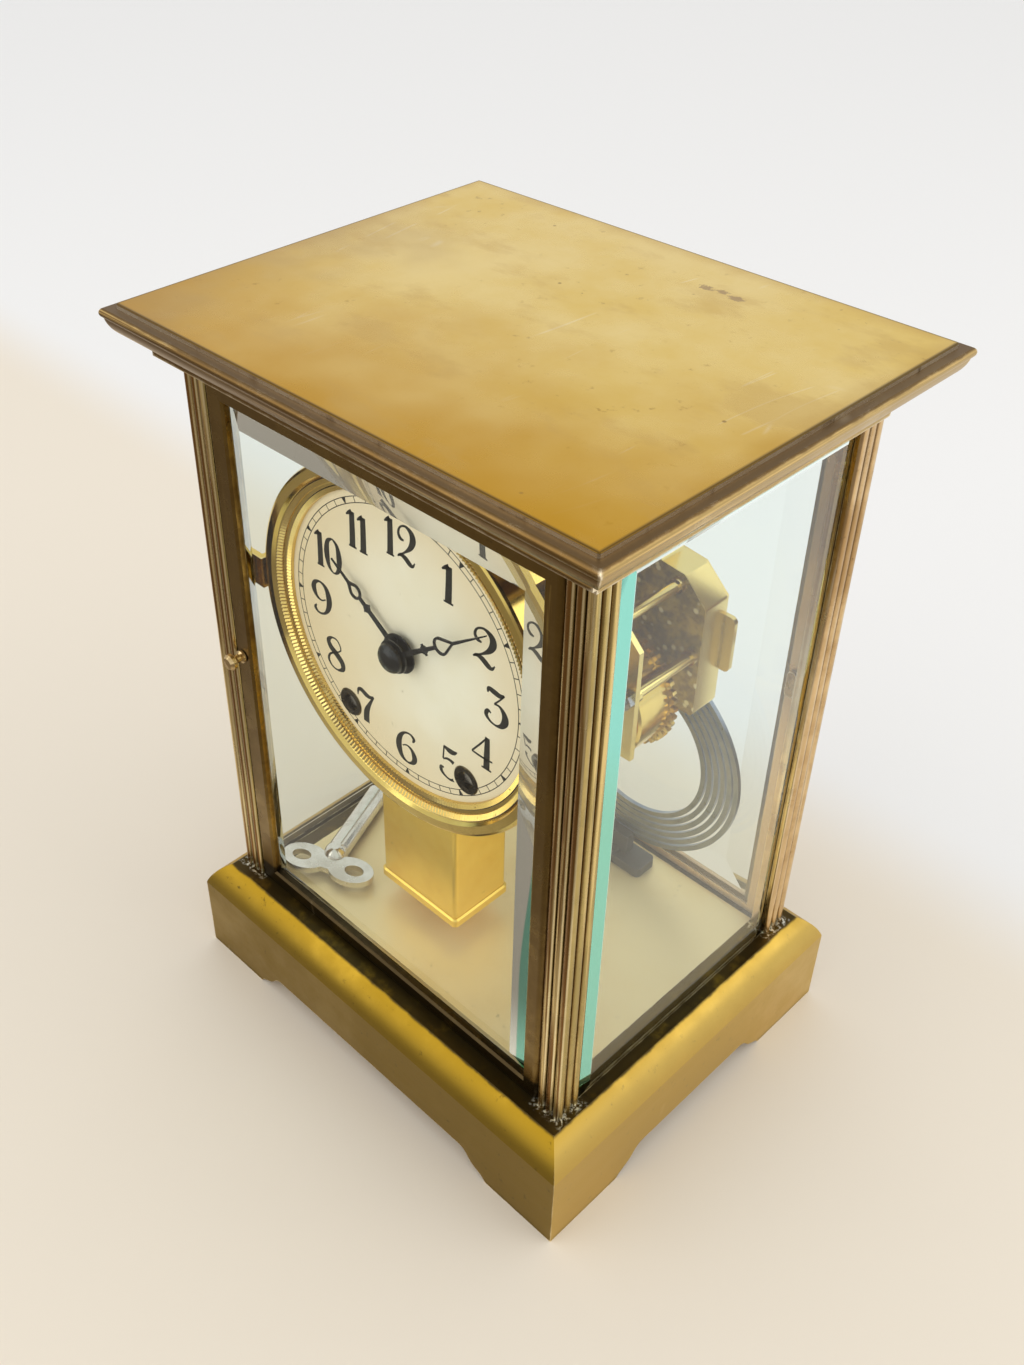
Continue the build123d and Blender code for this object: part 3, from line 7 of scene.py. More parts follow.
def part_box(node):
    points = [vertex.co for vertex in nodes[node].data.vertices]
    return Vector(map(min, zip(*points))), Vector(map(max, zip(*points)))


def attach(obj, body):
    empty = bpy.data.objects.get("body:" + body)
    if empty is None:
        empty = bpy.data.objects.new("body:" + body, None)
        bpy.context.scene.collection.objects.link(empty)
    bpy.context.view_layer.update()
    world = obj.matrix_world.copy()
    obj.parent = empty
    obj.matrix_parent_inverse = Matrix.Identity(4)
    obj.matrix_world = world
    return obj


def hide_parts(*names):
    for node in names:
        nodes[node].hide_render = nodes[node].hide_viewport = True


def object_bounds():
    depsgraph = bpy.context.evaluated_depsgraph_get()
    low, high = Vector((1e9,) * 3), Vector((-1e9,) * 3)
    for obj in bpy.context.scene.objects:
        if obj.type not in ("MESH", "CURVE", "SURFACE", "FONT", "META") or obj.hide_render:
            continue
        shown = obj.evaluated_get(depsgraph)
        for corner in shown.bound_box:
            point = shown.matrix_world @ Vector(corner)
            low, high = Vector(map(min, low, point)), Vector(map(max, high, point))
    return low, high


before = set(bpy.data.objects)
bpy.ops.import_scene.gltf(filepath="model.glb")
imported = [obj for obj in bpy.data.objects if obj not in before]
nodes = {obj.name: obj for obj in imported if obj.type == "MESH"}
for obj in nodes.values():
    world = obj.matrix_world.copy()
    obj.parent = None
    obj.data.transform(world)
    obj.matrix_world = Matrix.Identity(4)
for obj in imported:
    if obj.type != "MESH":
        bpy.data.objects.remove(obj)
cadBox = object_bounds()
bpy.context.scene.view_settings.view_transform = "Standard"
print("frame loaded,", len(nodes), "nodes")


# camera
cameraLook = {
    "azimuth": 45.98,           # degrees, 0 looks along +Y
    "elevation": 37.69,
    "roll": -0.31,
    "distance": 0.4642,         # from the middle of the clock
    "sideways": -0.0207,
    "upwards": 0.0124,
    "lens": 36.8,
    "shift": (0.0442, -0.0150),
}


def placeCamera(look, middle):
    a, e, r = (math.radians(look[k]) for k in ("azimuth", "elevation", "roll"))
    back = Vector((math.sin(a) * math.cos(e), -math.cos(a) * math.cos(e), math.sin(e)))
    level = Vector((math.cos(a), math.sin(a), 0))
    upright = back.cross(level)
    right = level * math.cos(r) + upright * math.sin(r)
    up = back.cross(right)
    spot = middle + back * look["distance"] + right * look["sideways"] + up * look["upwards"]
    lens = bpy.data.cameras.new("camera")
    lens.lens = look["lens"]
    lens.shift_x, lens.shift_y = look["shift"]
    lens.clip_start = 0.01
    camera = bpy.data.objects.new("camera", lens)
    camera.matrix_world = Matrix.Translation(spot) @ Matrix((right, up, back)).transposed().to_4x4()
    bpy.context.collection.objects.link(camera)
    bpy.context.scene.camera = camera


clockHeight = cadBox[1][2] - cadBox[0][2]
placeCamera(cameraLook, Vector((0, 0, clockHeight / 2)))
print("camera placed")


# small helpers for shader trees
def newTree(name):
    finish = bpy.data.materials.new(name)
    finish.use_nodes = True
    tree = finish.node_tree
    tree.nodes.clear()
    return finish, tree


def add(tree, kind, inputs=None, **fields):
    made = tree.nodes.new("ShaderNode" + kind)
    for name, value in fields.items():
        setattr(made, name, value)
    for name, value in (inputs or {}).items():
        feed(tree, made.inputs[name], value)
    return made


def feed(tree, socket, value):
    if isinstance(value, bpy.types.NodeSocket):
        tree.links.new(value, socket)
    elif hasattr(value, "__len__") and len(value) == 3 and socket.type == "RGBA":
        socket.default_value = (*value, 1)
    else:
        socket.default_value = value


def sums(tree, operation, first, second=0.0, limit=False):
    made = add(tree, "Math", {0: first, 1: second}, operation=operation)
    made.use_clamp = limit
    return made.outputs[0]


def blendOf(tree, share, first, second):
    made = add(tree, "Mix", data_type="RGBA")
    feed(tree, made.inputs[0], share)
    feed(tree, made.inputs[6], first)
    feed(tree, made.inputs[7], second)
    return made.outputs[2]


def levels(tree, value, low, high, toLow=0.0, toHigh=1.0):
    made = add(tree, "MapRange", {"Value": value, "From Min": low, "From Max": high,
                                  "To Min": toLow, "To Max": toHigh})
    made.interpolation_type = "SMOOTHSTEP"
    return made.outputs[0]


def noise(tree, place, scale, detail=4.0, roughness=0.55):
    made = add(tree, "TexNoise", {"Vector": place, "Scale": scale, "Detail": detail, "Roughness": roughness})
    return made.outputs[0]


def stretched(tree, place, scale, turn=(0, 0, 0)):
    return add(tree, "Mapping", {"Vector": place, "Scale": scale, "Rotation": turn}).outputs[0]


def alongAxis(tree, vector, axis):
    return add(tree, "SeparateXYZ", {0: vector}).outputs[axis]


def newGroup(name, inputs, outputs):
    tree = bpy.data.node_groups.new(name, "ShaderNodeTree")
    for label, kind, value in inputs:
        socket = tree.interface.new_socket(label, in_out="INPUT", socket_type="NodeSocket" + kind)
        if value is not None:
            socket.default_value = (*value, 1) if kind == "Color" else value
    for label, kind in outputs:
        tree.interface.new_socket(label, in_out="OUTPUT", socket_type="NodeSocket" + kind)
    return tree, tree.nodes.new("NodeGroupInput").outputs, tree.nodes.new("NodeGroupOutput").inputs


def placeGroup(tree, group, **inputs):
    made = tree.nodes.new("ShaderNodeGroup")
    made.node_tree = group
    for name, value in inputs.items():
        feed(tree, made.inputs[name], value)
    return made.outputs


# shared effects
def makeTarnish():
    group, given, out = newGroup(
        "tarnish",
        [("Place", "Vector", None), ("Scale", "Float", 20.0), ("Amount", "Float", 0.5),
         ("Clean", "Color", (0.8, 0.6, 0.3)), ("Aged", "Color", (0.5, 0.3, 0.1)),
         ("Dark", "Color", (0.1, 0.06, 0.02))],
        [("Color", "Color"), ("Aged", "Float"), ("Dark", "Float")])
    scale = given["Scale"]
    broad = noise(group, given["Place"], scale, 3.0)
    fine = noise(group, given["Place"], sums(group, "MULTIPLY", scale, 5.3), 6.0, 0.65)
    mixed = sums(group, "ADD", sums(group, "MULTIPLY", broad, 0.7), sums(group, "MULTIPLY", fine, 0.3))
    reach = sums(group, "SUBTRACT", 0.92, sums(group, "MULTIPLY", given["Amount"], 0.75))
    aged = levels(group, mixed, sums(group, "SUBTRACT", reach, 0.18), sums(group, "ADD", reach, 0.12))
    specks = noise(group, given["Place"], sums(group, "MULTIPLY", scale, 17.0), 5.0, 0.7)
    dark = sums(group, "MULTIPLY", levels(group, specks, 0.60, 0.74), aged)
    toned = blendOf(group, aged, given["Clean"], given["Aged"])
    feed(group, out["Color"], blendOf(group, dark, toned, given["Dark"]))
    feed(group, out["Aged"], aged)
    feed(group, out["Dark"], dark)
    return group


def makeEdgeRub():
    group, given, out = newGroup(
        "edgeRub",
        [("Place", "Vector", None), ("Reach", "Float", 0.001), ("Amount", "Float", 0.5),
         ("Breakup", "Float", 150.0)],
        [("Mask", "Float")])
    probe = group.nodes.new("ShaderNodeAmbientOcclusion")
    probe.inside, probe.only_local, probe.samples = True, True, 6
    feed(group, probe.inputs["Distance"], given["Reach"])
    edge = sums(group, "SUBTRACT", 1.0, probe.outputs["AO"])
    torn = noise(group, given["Place"], given["Breakup"], 4.0, 0.6)
    worn = sums(group, "ADD", edge, sums(group, "MULTIPLY", sums(group, "SUBTRACT", torn, 0.5), 0.9))
    start = sums(group, "SUBTRACT", 0.62, sums(group, "MULTIPLY", given["Amount"], 0.45))
    feed(group, out["Mask"], levels(group, worn, start, sums(group, "ADD", start, 0.22)))
    return group


# painted shade and dirt: darker in corners and hollows, found by ambient occlusion
def makeCornerDirt():
    group, given, out = newGroup(
        "hollowShadeAndDirt",
        [("Place", "Vector", None), ("Reach", "Float", 0.004), ("Amount", "Float", 0.5)],
        [("Mask", "Float")])
    probe = group.nodes.new("ShaderNodeAmbientOcclusion")
    probe.samples = 6
    feed(group, probe.inputs["Distance"], given["Reach"])
    deep = sums(group, "SUBTRACT", 1.0, probe.outputs["AO"])
    cloud = noise(group, given["Place"], 90.0, 4.0, 0.6)
    caught = sums(group, "MULTIPLY", deep, sums(group, "ADD", cloud, 0.6))
    feed(group, out["Mask"], sums(group, "MULTIPLY", levels(group, caught, 0.25, 0.85), given["Amount"]))
    return group


def makeDrawnLines():
    group, given, out = newGroup(
        "drawnLines",
        [("Place", "Vector", None), ("Stretch", "Vector", (300.0, 300.0, 12.0)),
         ("Low", "Float", -1.0), ("High", "Float", 1.0)],
        [("Mask", "Float")])
    along = group.nodes.new("ShaderNodeMapping")
    feed(group, along.inputs["Vector"], given["Place"])
    feed(group, along.inputs["Scale"], given["Stretch"])
    parts = add(group, "SeparateXYZ", {0: given["Place"]}).outputs
    turned = add(group, "CombineXYZ", {"X": parts["Z"], "Y": parts["Y"], "Z": parts["X"]}).outputs[0]
    across = group.nodes.new("ShaderNodeMapping")
    feed(group, across.inputs["Vector"], turned)
    feed(group, across.inputs["Scale"], given["Stretch"])
    rail = sums(group, "MAXIMUM", sums(group, "LESS_THAN", parts["Z"], given["Low"]),
                sums(group, "GREATER_THAN", parts["Z"], given["High"]))
    post = noise(group, along.outputs[0], 1.0, 5.0, 0.6)
    beam = noise(group, across.outputs[0], 1.0, 5.0, 0.6)
    feed(group, out["Mask"], sums(group, "ADD", post, sums(group, "MULTIPLY", rail,
                                                           sums(group, "SUBTRACT", beam, post))))
    return group


def makeScratches():
    group, given, out = newGroup(
        "scratches",
        [("Place", "Vector", None), ("Scale", "Float", 40.0), ("Amount", "Float", 0.5)],
        [("Mask", "Float")])
    bent = add(group, "VectorMath", {0: given["Place"]}, operation="ADD")
    sway = add(group, "TexNoise", {"Vector": given["Place"], "Scale": 14.0, "Detail": 1.0})
    small = add(group, "VectorMath", {0: sway.outputs["Color"], "Scale": 0.02}, operation="SCALE")
    group.links.new(small.outputs[0], bent.inputs[1])
    total = None
    for turn, run in ((0.5, 0.12), (2.1, 0.16), (1.2, 0.10)):
        laid = stretched(group, bent.outputs[0], (1.0, run, run), (0.0, 0.0, turn))
        cells = add(group, "TexVoronoi", {"Vector": laid, "Scale": given["Scale"]}, feature="DISTANCE_TO_EDGE")
        line = levels(group, cells.outputs["Distance"], 0.0, 0.012, 1.0, 0.0)
        total = line if total is None else sums(group, "MAXIMUM", total, line)
    gate = noise(group, given["Place"], 33.0, 2.0)
    start = sums(group, "SUBTRACT", 0.8, sums(group, "MULTIPLY", given["Amount"], 0.4))
    shown = levels(group, gate, start, sums(group, "ADD", start, 0.06))
    feed(group, out["Mask"], sums(group, "MULTIPLY", total, shown))
    return group


tarnish = makeTarnish()
edgeRub = makeEdgeRub()
hollowShadeAndDirt = makeCornerDirt()
drawnLines = makeDrawnLines()
scratches = makeScratches()
print("shared effects made")


# brass
brassDefaults = {
    "clean": (0.74, 0.53, 0.20),
    "aged": (0.55, 0.34, 0.09),
    "dark": (0.10, 0.055, 0.018),
    "rubbed": (0.88, 0.70, 0.40),
    "metallic": 1.0,
    "roughness": (0.22, 0.42),
    "tarnishScale": 22.0,
    "tarnishAmount": 0.5,
    "rubReach": 0.0012,
    "rubAmount": 0.5,
    "shadeAndDirtReach": 0.004,
    "shadeAndDirtAmount": 0.6,
    "stretch": (60.0, 60.0, 60.0),
    "rails": (-1.0, 1.0),       # below and above these heights the lines run level
    "streakAmount": 0.0,
    "streakTone": (0.85, 0.62, 0.30),
    "streakShow": 0.85,
    "scratchAmount": 0.3,
    "scratchShow": 0.35,
    "frontShadeAndAge": 0.0,            # how much darker the front faces are: tarnish partly, painted shade partly
    "frontShadeTone": (0.10, 0.06, 0.018),
    "frontShadeTurn": (-0.85, -0.25),
    "sideLightAndWearTone": None,           # painted light: paler tone of the faces turned to the right
    "sideLightTurn": (0.3, 0.9),
    "sideLightShow": 0.6,
    "glintHighlight": None,              # painted highlight: the bright line on the flank of each reed of the front
    "glintRise": (0.42, 0.60),
    "glintFall": (0.66, 0.86),
    "glintAhead": (-0.0592, -0.0586),
    "ledge": None,              # height above which level tops are black with old polish
    "ledgeFade": 0.0006,
    "ledgeShow": 0.92,
    "ledgeTone": (0.035, 0.026, 0.014),
    "foot": None,               # height below which all is black with old polish
    "footFade": 0.0015,
    "footShow": 0.9,
    "footTone": (0.035, 0.026, 0.014),
    "polishAndGlint": None,              # height band of pale specks at the feet of the posts: dried polish partly, painted highlights partly
    "polishAndGlintPlace": (0.0753, 0.0554),     # middle of each post, across and along
    "polishAndGlintWidth": (0.0056, 0.0076),
    "polishAndGlintTone": (0.80, 0.78, 0.66),
    "bump": 0.05,
    "bumpHeight": 0.0004,
}


# painted shade on the faces turned to the front, partly tarnish, and painted light on the faces turned to the
# right
def turnedFaces(tree, normal, look, colour):
    if look["frontShadeAndAge"]:
        # painted shade, with some tarnish, on the faces turned to the front
        front = levels(tree, alongAxis(tree, normal, "Y"), *look["frontShadeTurn"], look["frontShadeAndAge"], 0.0)
        colour = blendOf(tree, front, colour, look["frontShadeTone"])
    # painted light on the faces turned to the right
    if look["sideLightAndWearTone"]:
        side = levels(tree, alongAxis(tree, normal, "X"), *look["sideLightTurn"], 0.0, look["sideLightShow"])
        colour = blendOf(tree, side, colour, look["sideLightAndWearTone"])
    return colour


def blackLedge(tree, place, look, colour):
    torn = sums(tree, "MULTIPLY", noise(tree, place, 120.0, 4.0, 0.6), 0.001)
    ragged = sums(tree, "ADD", alongAxis(tree, place, "Z"), torn)
    above = levels(tree, ragged, look["ledge"], look["ledge"] + look["ledgeFade"], 0.0, look["ledgeShow"])
    return blendOf(tree, above, colour, look["ledgeTone"])


# painted highlight along the flank of each reed on the front of the posts
def reedGlint(tree, place, normal, look, colour):
    flank = alongAxis(tree, normal, "X")
    line = sums(tree, "MULTIPLY", levels(tree, flank, *look["glintRise"]),
                levels(tree, flank, *look["glintFall"], 1.0, 0.0))
    ahead = levels(tree, alongAxis(tree, place, "Y"), *look["glintAhead"], 1.0, 0.0)
    cloud = noise(tree, stretched(tree, place, (60.0, 60.0, 14.0)), 1.0, 4.0, 0.6)
    broken = levels(tree, cloud, 0.30, 0.55, 0.35, 1.0)
    line = sums(tree, "MULTIPLY", sums(tree, "MULTIPLY", line, ahead), broken)
    return blendOf(tree, line, colour, look["glintHighlight"])


def blackFoot(tree, place, look, colour):
    below = levels(tree, alongAxis(tree, place, "Z"), look["foot"], look["foot"] + look["footFade"],
                   look["footShow"], 0.0)
    return blendOf(tree, below, colour, look["footTone"])


# pale specks at the feet of the posts: dried polish partly, painted highlights partly
def driedPolish(tree, place, look, colour):
    parts = add(tree, "SeparateXYZ", {0: place}).outputs
    across, along = (sums(tree, "SUBTRACT", sums(tree, "ABSOLUTE", parts[axis]), middle)
                     for axis, middle in zip("XY", look["polishAndGlintPlace"]))
    away = sums(tree, "MAXIMUM", sums(tree, "ABSOLUTE", across), sums(tree, "ABSOLUTE", along))
    near = sums(tree, "MULTIPLY", levels(tree, away, *look["polishAndGlintWidth"], 1.0, 0.0),
                levels(tree, parts["Z"], *look["polishAndGlint"], 1.0, 0.0))
    grains = levels(tree, noise(tree, place, 620.0, 4.0, 0.65), 0.50, 0.62)
    return blendOf(tree, sums(tree, "MULTIPLY", near, grains), colour, look["polishAndGlintTone"])


def brassFinish(name, changes):
    look = {**brassDefaults, **changes}
    finish, tree = newTree(name)
    coordinates = add(tree, "TexCoord").outputs
    place, normal = coordinates["Object"], coordinates["Normal"]
    aged = placeGroup(tree, tarnish, Place=place, Scale=look["tarnishScale"], Amount=look["tarnishAmount"],
                      Clean=look["clean"], Aged=look["aged"], Dark=look["dark"])
    rub = placeGroup(tree, edgeRub, Place=place, Reach=look["rubReach"], Amount=look["rubAmount"])["Mask"]
    shadeAndDirt = placeGroup(tree, hollowShadeAndDirt, Place=place, Reach=look["shadeAndDirtReach"],
                      Amount=look["shadeAndDirtAmount"])["Mask"]
    lines = placeGroup(tree, drawnLines, Place=place, Stretch=look["stretch"], Low=look["rails"][0],
                       High=look["rails"][1])["Mask"]
    scars = placeGroup(tree, scratches, Place=place, Amount=look["scratchAmount"])["Mask"]
    colour = turnedFaces(tree, normal, look, aged["Color"])
    if look["streakAmount"]:
        start = 0.72 - 0.3 * look["streakAmount"]
        bright = sums(tree, "MULTIPLY", levels(tree, lines, start, start + 0.1), look["streakShow"])
        colour = blendOf(tree, bright, colour, look["streakTone"])
    # painted shade and dirt in the corners and hollows
    colour = blendOf(tree, shadeAndDirt, colour, look["dark"])
    if look["ledge"]:
        colour = blackLedge(tree, place, look, colour)
    colour = blendOf(tree, rub, colour, look["rubbed"])
    if look["glintHighlight"]:
        colour = reedGlint(tree, place, normal, look, colour)
    if look["foot"]:
        colour = blackFoot(tree, place, look, colour)
    if look["polishAndGlint"]:
        colour = driedPolish(tree, place, look, colour)
    colour = blendOf(tree, sums(tree, "MULTIPLY", scars, look["scratchShow"]), colour, look["rubbed"])
    rough = sums(tree, "ADD", levels(tree, aged["Aged"], 0.0, 1.0, *look["roughness"]),
                 sums(tree, "MULTIPLY", sums(tree, "SUBTRACT", lines, 0.5), 0.12))
    rough = sums(tree, "ADD", rough, sums(tree, "MULTIPLY", shadeAndDirt, 0.2))
    height = sums(tree, "SUBTRACT", sums(tree, "MULTIPLY", lines, 0.6), sums(tree, "MULTIPLY", scars, 0.4))
    height = sums(tree, "SUBTRACT", height, sums(tree, "MULTIPLY", aged["Dark"], 0.5))
    relief = add(tree, "Bump", {"Height": height, "Strength": look["bump"], "Distance": look["bumpHeight"]})
    metal = add(tree, "BsdfPrincipled", {"Base Color": colour, "Metallic": look["metallic"],
                                         "Roughness": rough, "Normal": relief.outputs[0]})
    add(tree, "OutputMaterial", {"Surface": metal.outputs[0]})
    return finish


def shaderOf(finish):
    return next(item for item in finish.node_tree.nodes if item.type == "BSDF_PRINCIPLED")


def dress(finish, *names):
    for name in names:
        for place in nodes[name].material_slots:
            place.material = finish


topMarks = {
    "half": (0.0904, 0.0729),           # half width and half depth of the plate
    "rim": 0.0075,
    "rimFade": 0.0085,
    "rimTone": (0.60, 0.37, 0.08),
    "frontShadeBand": (-0.025, 0.095),       # painted darker reflection: the warm band along the front
    "frontShadeTone": (0.58, 0.30, 0.008),
    "leftBand": (-0.094, -0.052),       # the darker end at the left, and where it dies out towards the back
    "leftDepth": (-0.005, 0.055),
    "leftTone": (0.44, 0.265, 0.085),
    "stainTone": (0.60, 0.38, 0.10),
    "pitSize": (0.03, 0.075),
    "pitTone": (0.28, 0.16, 0.04),
    "edge": (0.0062, 0.0073),
    "edgeTone": (0.10, 0.058, 0.018),
    "side": (0.2664, 0.2667),           # heights between which the plate's side is silvery
    "sideLightAndWearTone": (0.80, 0.76, 0.66),
    "scuffs": ((0.0205, 0.0540, 0.0030), (0.0258, 0.0548, 0.0024), (0.0312, 0.0538, 0.0032)),
    "scuffHeight": 0.2665,
    "scuffTone": (0.40, 0.26, 0.12),
}


def addTopMarks(finish, look):
    tree = finish.node_tree
    metal = shaderOf(finish)
    colour = metal.inputs["Base Color"].links[0].from_socket
    place = add(tree, "TexCoord").outputs["Object"]
    parts = add(tree, "SeparateXYZ", {0: place}).outputs
    rim = sums(tree, "MAXIMUM", *(sums(tree, "ADD", sums(tree, "ABSOLUTE", parts[axis]), look["rim"] - half)
                                  for axis, half in zip("XY", look["half"])))
    cloud = noise(tree, place, 55.0, 4.0, 0.6)
    ragged = sums(tree, "ADD", rim, sums(tree, "MULTIPLY", sums(tree, "SUBTRACT", cloud, 0.5), 0.012))
    colour = blendOf(tree, levels(tree, ragged, 0.0, look["rimFade"], 0.0, 0.5), colour, look["rimTone"])
    sway = sums(tree, "MULTIPLY", sums(tree, "SUBTRACT", noise(tree, place, 15.0, 3.0), 0.5), 0.13)
    # painted darker reflection along the front of the plate
    near = sums(tree, "SUBTRACT", sums(tree, "MULTIPLY", parts["X"], 0.16), parts["Y"])
    front = levels(tree, sums(tree, "ADD", near, sway), *look["frontShadeBand"], 0.0, 0.95)
    colour = blendOf(tree, front, colour, look["frontShadeTone"])
    left = sums(tree, "MULTIPLY",
                levels(tree, sums(tree, "ADD", parts["X"], sway), *look["leftBand"], 0.8, 0.0),
                levels(tree, parts["Y"], *look["leftDepth"], 1.0, 0.0))
    colour = blendOf(tree, left, colour, look["leftTone"])
    drawn = stretched(tree, place, (1.0, 1.9, 1.0), (0, 0, 0.6))
    stain = levels(tree, noise(tree, drawn, 26.0, 5.0, 0.6), 0.52, 0.66)
    colour = blendOf(tree, sums(tree, "MULTIPLY", stain, 0.35), colour, look["stainTone"])
    pits = add(tree, "TexVoronoi", {"Vector": place, "Scale": 95.0})
    rare = levels(tree, add(tree, "SeparateColor", {0: pits.outputs["Color"]}).outputs[0], 0.86, 0.90)
    spot = levels(tree, pits.outputs["Distance"], *look["pitSize"], 0.75, 0.0)
    colour = blendOf(tree, sums(tree, "MULTIPLY", spot, rare), colour, look["pitTone"])
    colour = blendOf(tree, levels(tree, rim, *look["edge"], 0.0, 0.9), colour, look["edgeTone"])
    torn = levels(tree, noise(tree, place, 120.0, 4.0, 0.6), 0.30, 0.44, 0.25, 1.0)
    side = sums(tree, "MULTIPLY", levels(tree, parts["Z"], *look["side"], 1.0, 0.0), torn)
    colour = blendOf(tree, side, colour, look["sideLightAndWearTone"])
    for x, y, half in look["scuffs"]:
        away = add(tree, "VectorMath", {0: place, 1: (x, y, look["scuffHeight"])}, operation="SUBTRACT")
        bent = add(tree, "VectorMath", {0: stretched(tree, away.outputs[0], (1.0, 1.6, 1.0), (0, 0, 0.5))},
                   operation="LENGTH")
        torn = sums(tree, "MULTIPLY", sums(tree, "SUBTRACT", noise(tree, place, 700.0, 4.0, 0.7), 0.5), 0.006)
        mark = levels(tree, sums(tree, "ADD", bent.outputs["Value"], torn), half * 0.55, half, 0.8, 0.0)
        colour = blendOf(tree, mark, colour, look["scuffTone"])
    feed(tree, metal.inputs["Base Color"], colour)
    return finish


topBrass = {
    "clean": (0.90, 0.69, 0.27),
    "aged": (0.82, 0.58, 0.14),
    "dark": (0.34, 0.20, 0.05),
    "rubbed": (0.97, 0.84, 0.55),
    "tarnishScale": 11.0,
    "tarnishAmount": 0.5,
    "roughness": (0.24, 0.33),
    "scratchAmount": 0.5,
    "rubAmount": 0.0,
    "rubReach": 0.0001,
    "shadeAndDirtAmount": 0.8,
    "shadeAndDirtReach": 0.0015,
    "scratchShow": 0.45,
}
dress(addTopMarks(brassFinish("agedTopBrass", topBrass), topMarks), "top_plate")

corniceBrass = {
    "clean": (0.54, 0.36, 0.13),
    "aged": (0.25, 0.15, 0.05),
    "dark": (0.03, 0.018, 0.008),
    "tarnishScale": 22.0,
    "tarnishAmount": 0.7,
    "frontShadeAndAge": 0.6,
    "frontShadeTone": (0.19, 0.11, 0.034),
    "sideLightAndWearTone": (0.70, 0.50, 0.20),
    "roughness": (0.20, 0.34),
    "rubAmount": 0.68,
    "rubReach": 0.0012,
    "rubbed": (0.92, 0.80, 0.58),
    "shadeAndDirtAmount": 0.95,
    "shadeAndDirtReach": 0.0032,
    "stretch": (9.0, 9.0, 800.0),
    "streakAmount": 0.6,
    "streakTone": (0.80, 0.56, 0.22),
    "ledge": 0.2652,
    "ledgeTone": (0.15, 0.09, 0.035),
}
dress(brassFinish("corniceBrass", corniceBrass), "cornice")

baseBrass = {
    "clean": (0.63, 0.40, 0.045),
    "aged": (0.42, 0.255, 0.018),
    "dark": (0.07, 0.042, 0.010),
    "frontShadeAndAge": 0.72,
    "frontShadeTone": (0.17, 0.115, 0.022),
    "frontShadeTurn": (-0.97, -0.5),
    "sideLightAndWearTone": (0.70, 0.51, 0.17),
    "tarnishScale": 16.0,
    "tarnishAmount": 0.6,
    "roughness": (0.28, 0.44),
    "rubAmount": 0.5,
    "rubReach": 0.0009,
    "rubbed": (0.86, 0.72, 0.42),
    "shadeAndDirtAmount": 0.95,
    "shadeAndDirtReach": 0.004,
    "ledge": 0.0419,
    "polishAndGlint": (0.043, 0.044),
    "stretch": (7.0, 7.0, 300.0),
}
dress(brassFinish("baseBrass", baseBrass), "base_plinth")

floorBrass = {
    "clean": (0.92, 0.76, 0.42),
    "aged": (0.84, 0.64, 0.29),
    "tarnishScale": 12.0,
    "tarnishAmount": 0.4,
    "roughness": (0.42, 0.56),
    "rubAmount": 0.1,
    "shadeAndDirtAmount": 0.8,
    "metallic": 0.45,
}
dress(brassFinish("floorBrass", floorBrass), "floor_plate")

postBrass = {
    "clean": (0.70, 0.48, 0.18),
    "aged": (0.34, 0.20, 0.06),
    "dark": (0.030, 0.017, 0.007),
    "tarnishScale": 30.0,
    "tarnishAmount": 0.6,
    "frontShadeAndAge": 0.88,
    "frontShadeTone": (0.25, 0.12, 0.03),
    "frontShadeTurn": (-0.92, -0.74),
    "sideLightAndWearTone": (0.54, 0.47, 0.20),
    "stretch": (330.0, 330.0, 6.0),
    "streakAmount": 0.7,
    "streakTone": (0.92, 0.73, 0.34),
    "glintHighlight": (1.0, 0.86, 0.52),
    "roughness": (0.14, 0.30),
    "rubReach": 0.0007,
    "rubAmount": 0.6,
    "rubbed": (0.95, 0.82, 0.52),
    "shadeAndDirtAmount": 0.98,
    "shadeAndDirtReach": 0.0018,
    "polishAndGlint": (0.0432, 0.0475),
}
dress(brassFinish("postBrass", postBrass), "post_front_left", "post_front_right")

rearPostBrass = {
    "clean": (0.82, 0.61, 0.35),
    "aged": (0.52, 0.34, 0.16),
    "tarnishScale": 30.0,
    "tarnishAmount": 0.55,
    "stretch": (330.0, 330.0, 6.0),
    "streakAmount": 0.6,
    "streakTone": (0.95, 0.82, 0.60),
    "roughness": (0.16, 0.32),
    "rubReach": 0.0007,
    "rubAmount": 0.6,
    "rubbed": (0.96, 0.88, 0.72),
    "shadeAndDirtAmount": 0.9,
    "shadeAndDirtReach": 0.0014,
    "polishAndGlint": (0.0432, 0.0475),
}
dress(brassFinish("rearPostBrass", rearPostBrass), "post_rear_left", "post_rear_right")

doorBrass = {
    "clean": (0.62, 0.43, 0.15),
    "aged": (0.26, 0.16, 0.05),
    "dark": (0.03, 0.018, 0.008),
    "tarnishScale": 34.0,
    "tarnishAmount": 0.6,
    "stretch": (300.0, 300.0, 9.0),
    "rails": (0.0475, 0.2405),
    "streakAmount": 0.5,
    "streakTone": (0.50, 0.34, 0.10),
    "frontShadeAndAge": 0.72,
    "frontShadeTone": (0.16, 0.10, 0.026),
    "foot": 0.0490,
    "roughness": (0.16, 0.32),
    "rubReach": 0.0007,
    "rubAmount": 0.45,
    "rubbed": (0.90, 0.74, 0.48),
    "shadeAndDirtAmount": 0.9,
}
dress(brassFinish("doorBrass", doorBrass), "front_door_frame")

rearDoorBrass = {
    "clean": (0.80, 0.58, 0.35),
    "aged": (0.66, 0.43, 0.23),
    "tarnishScale": 24.0,
    "tarnishAmount": 0.45,
    "metallic": 0.6,
    "stretch": (300.0, 300.0, 9.0),
    "rails": (0.0475, 0.2405),
    "roughness": (0.24, 0.38),
    "rubReach": 0.0007,
    "rubAmount": 0.4,
    "shadeAndDirtAmount": 0.8,
}
dress(brassFinish("rearDoorBrass", rearDoorBrass), "rear_door_frame")

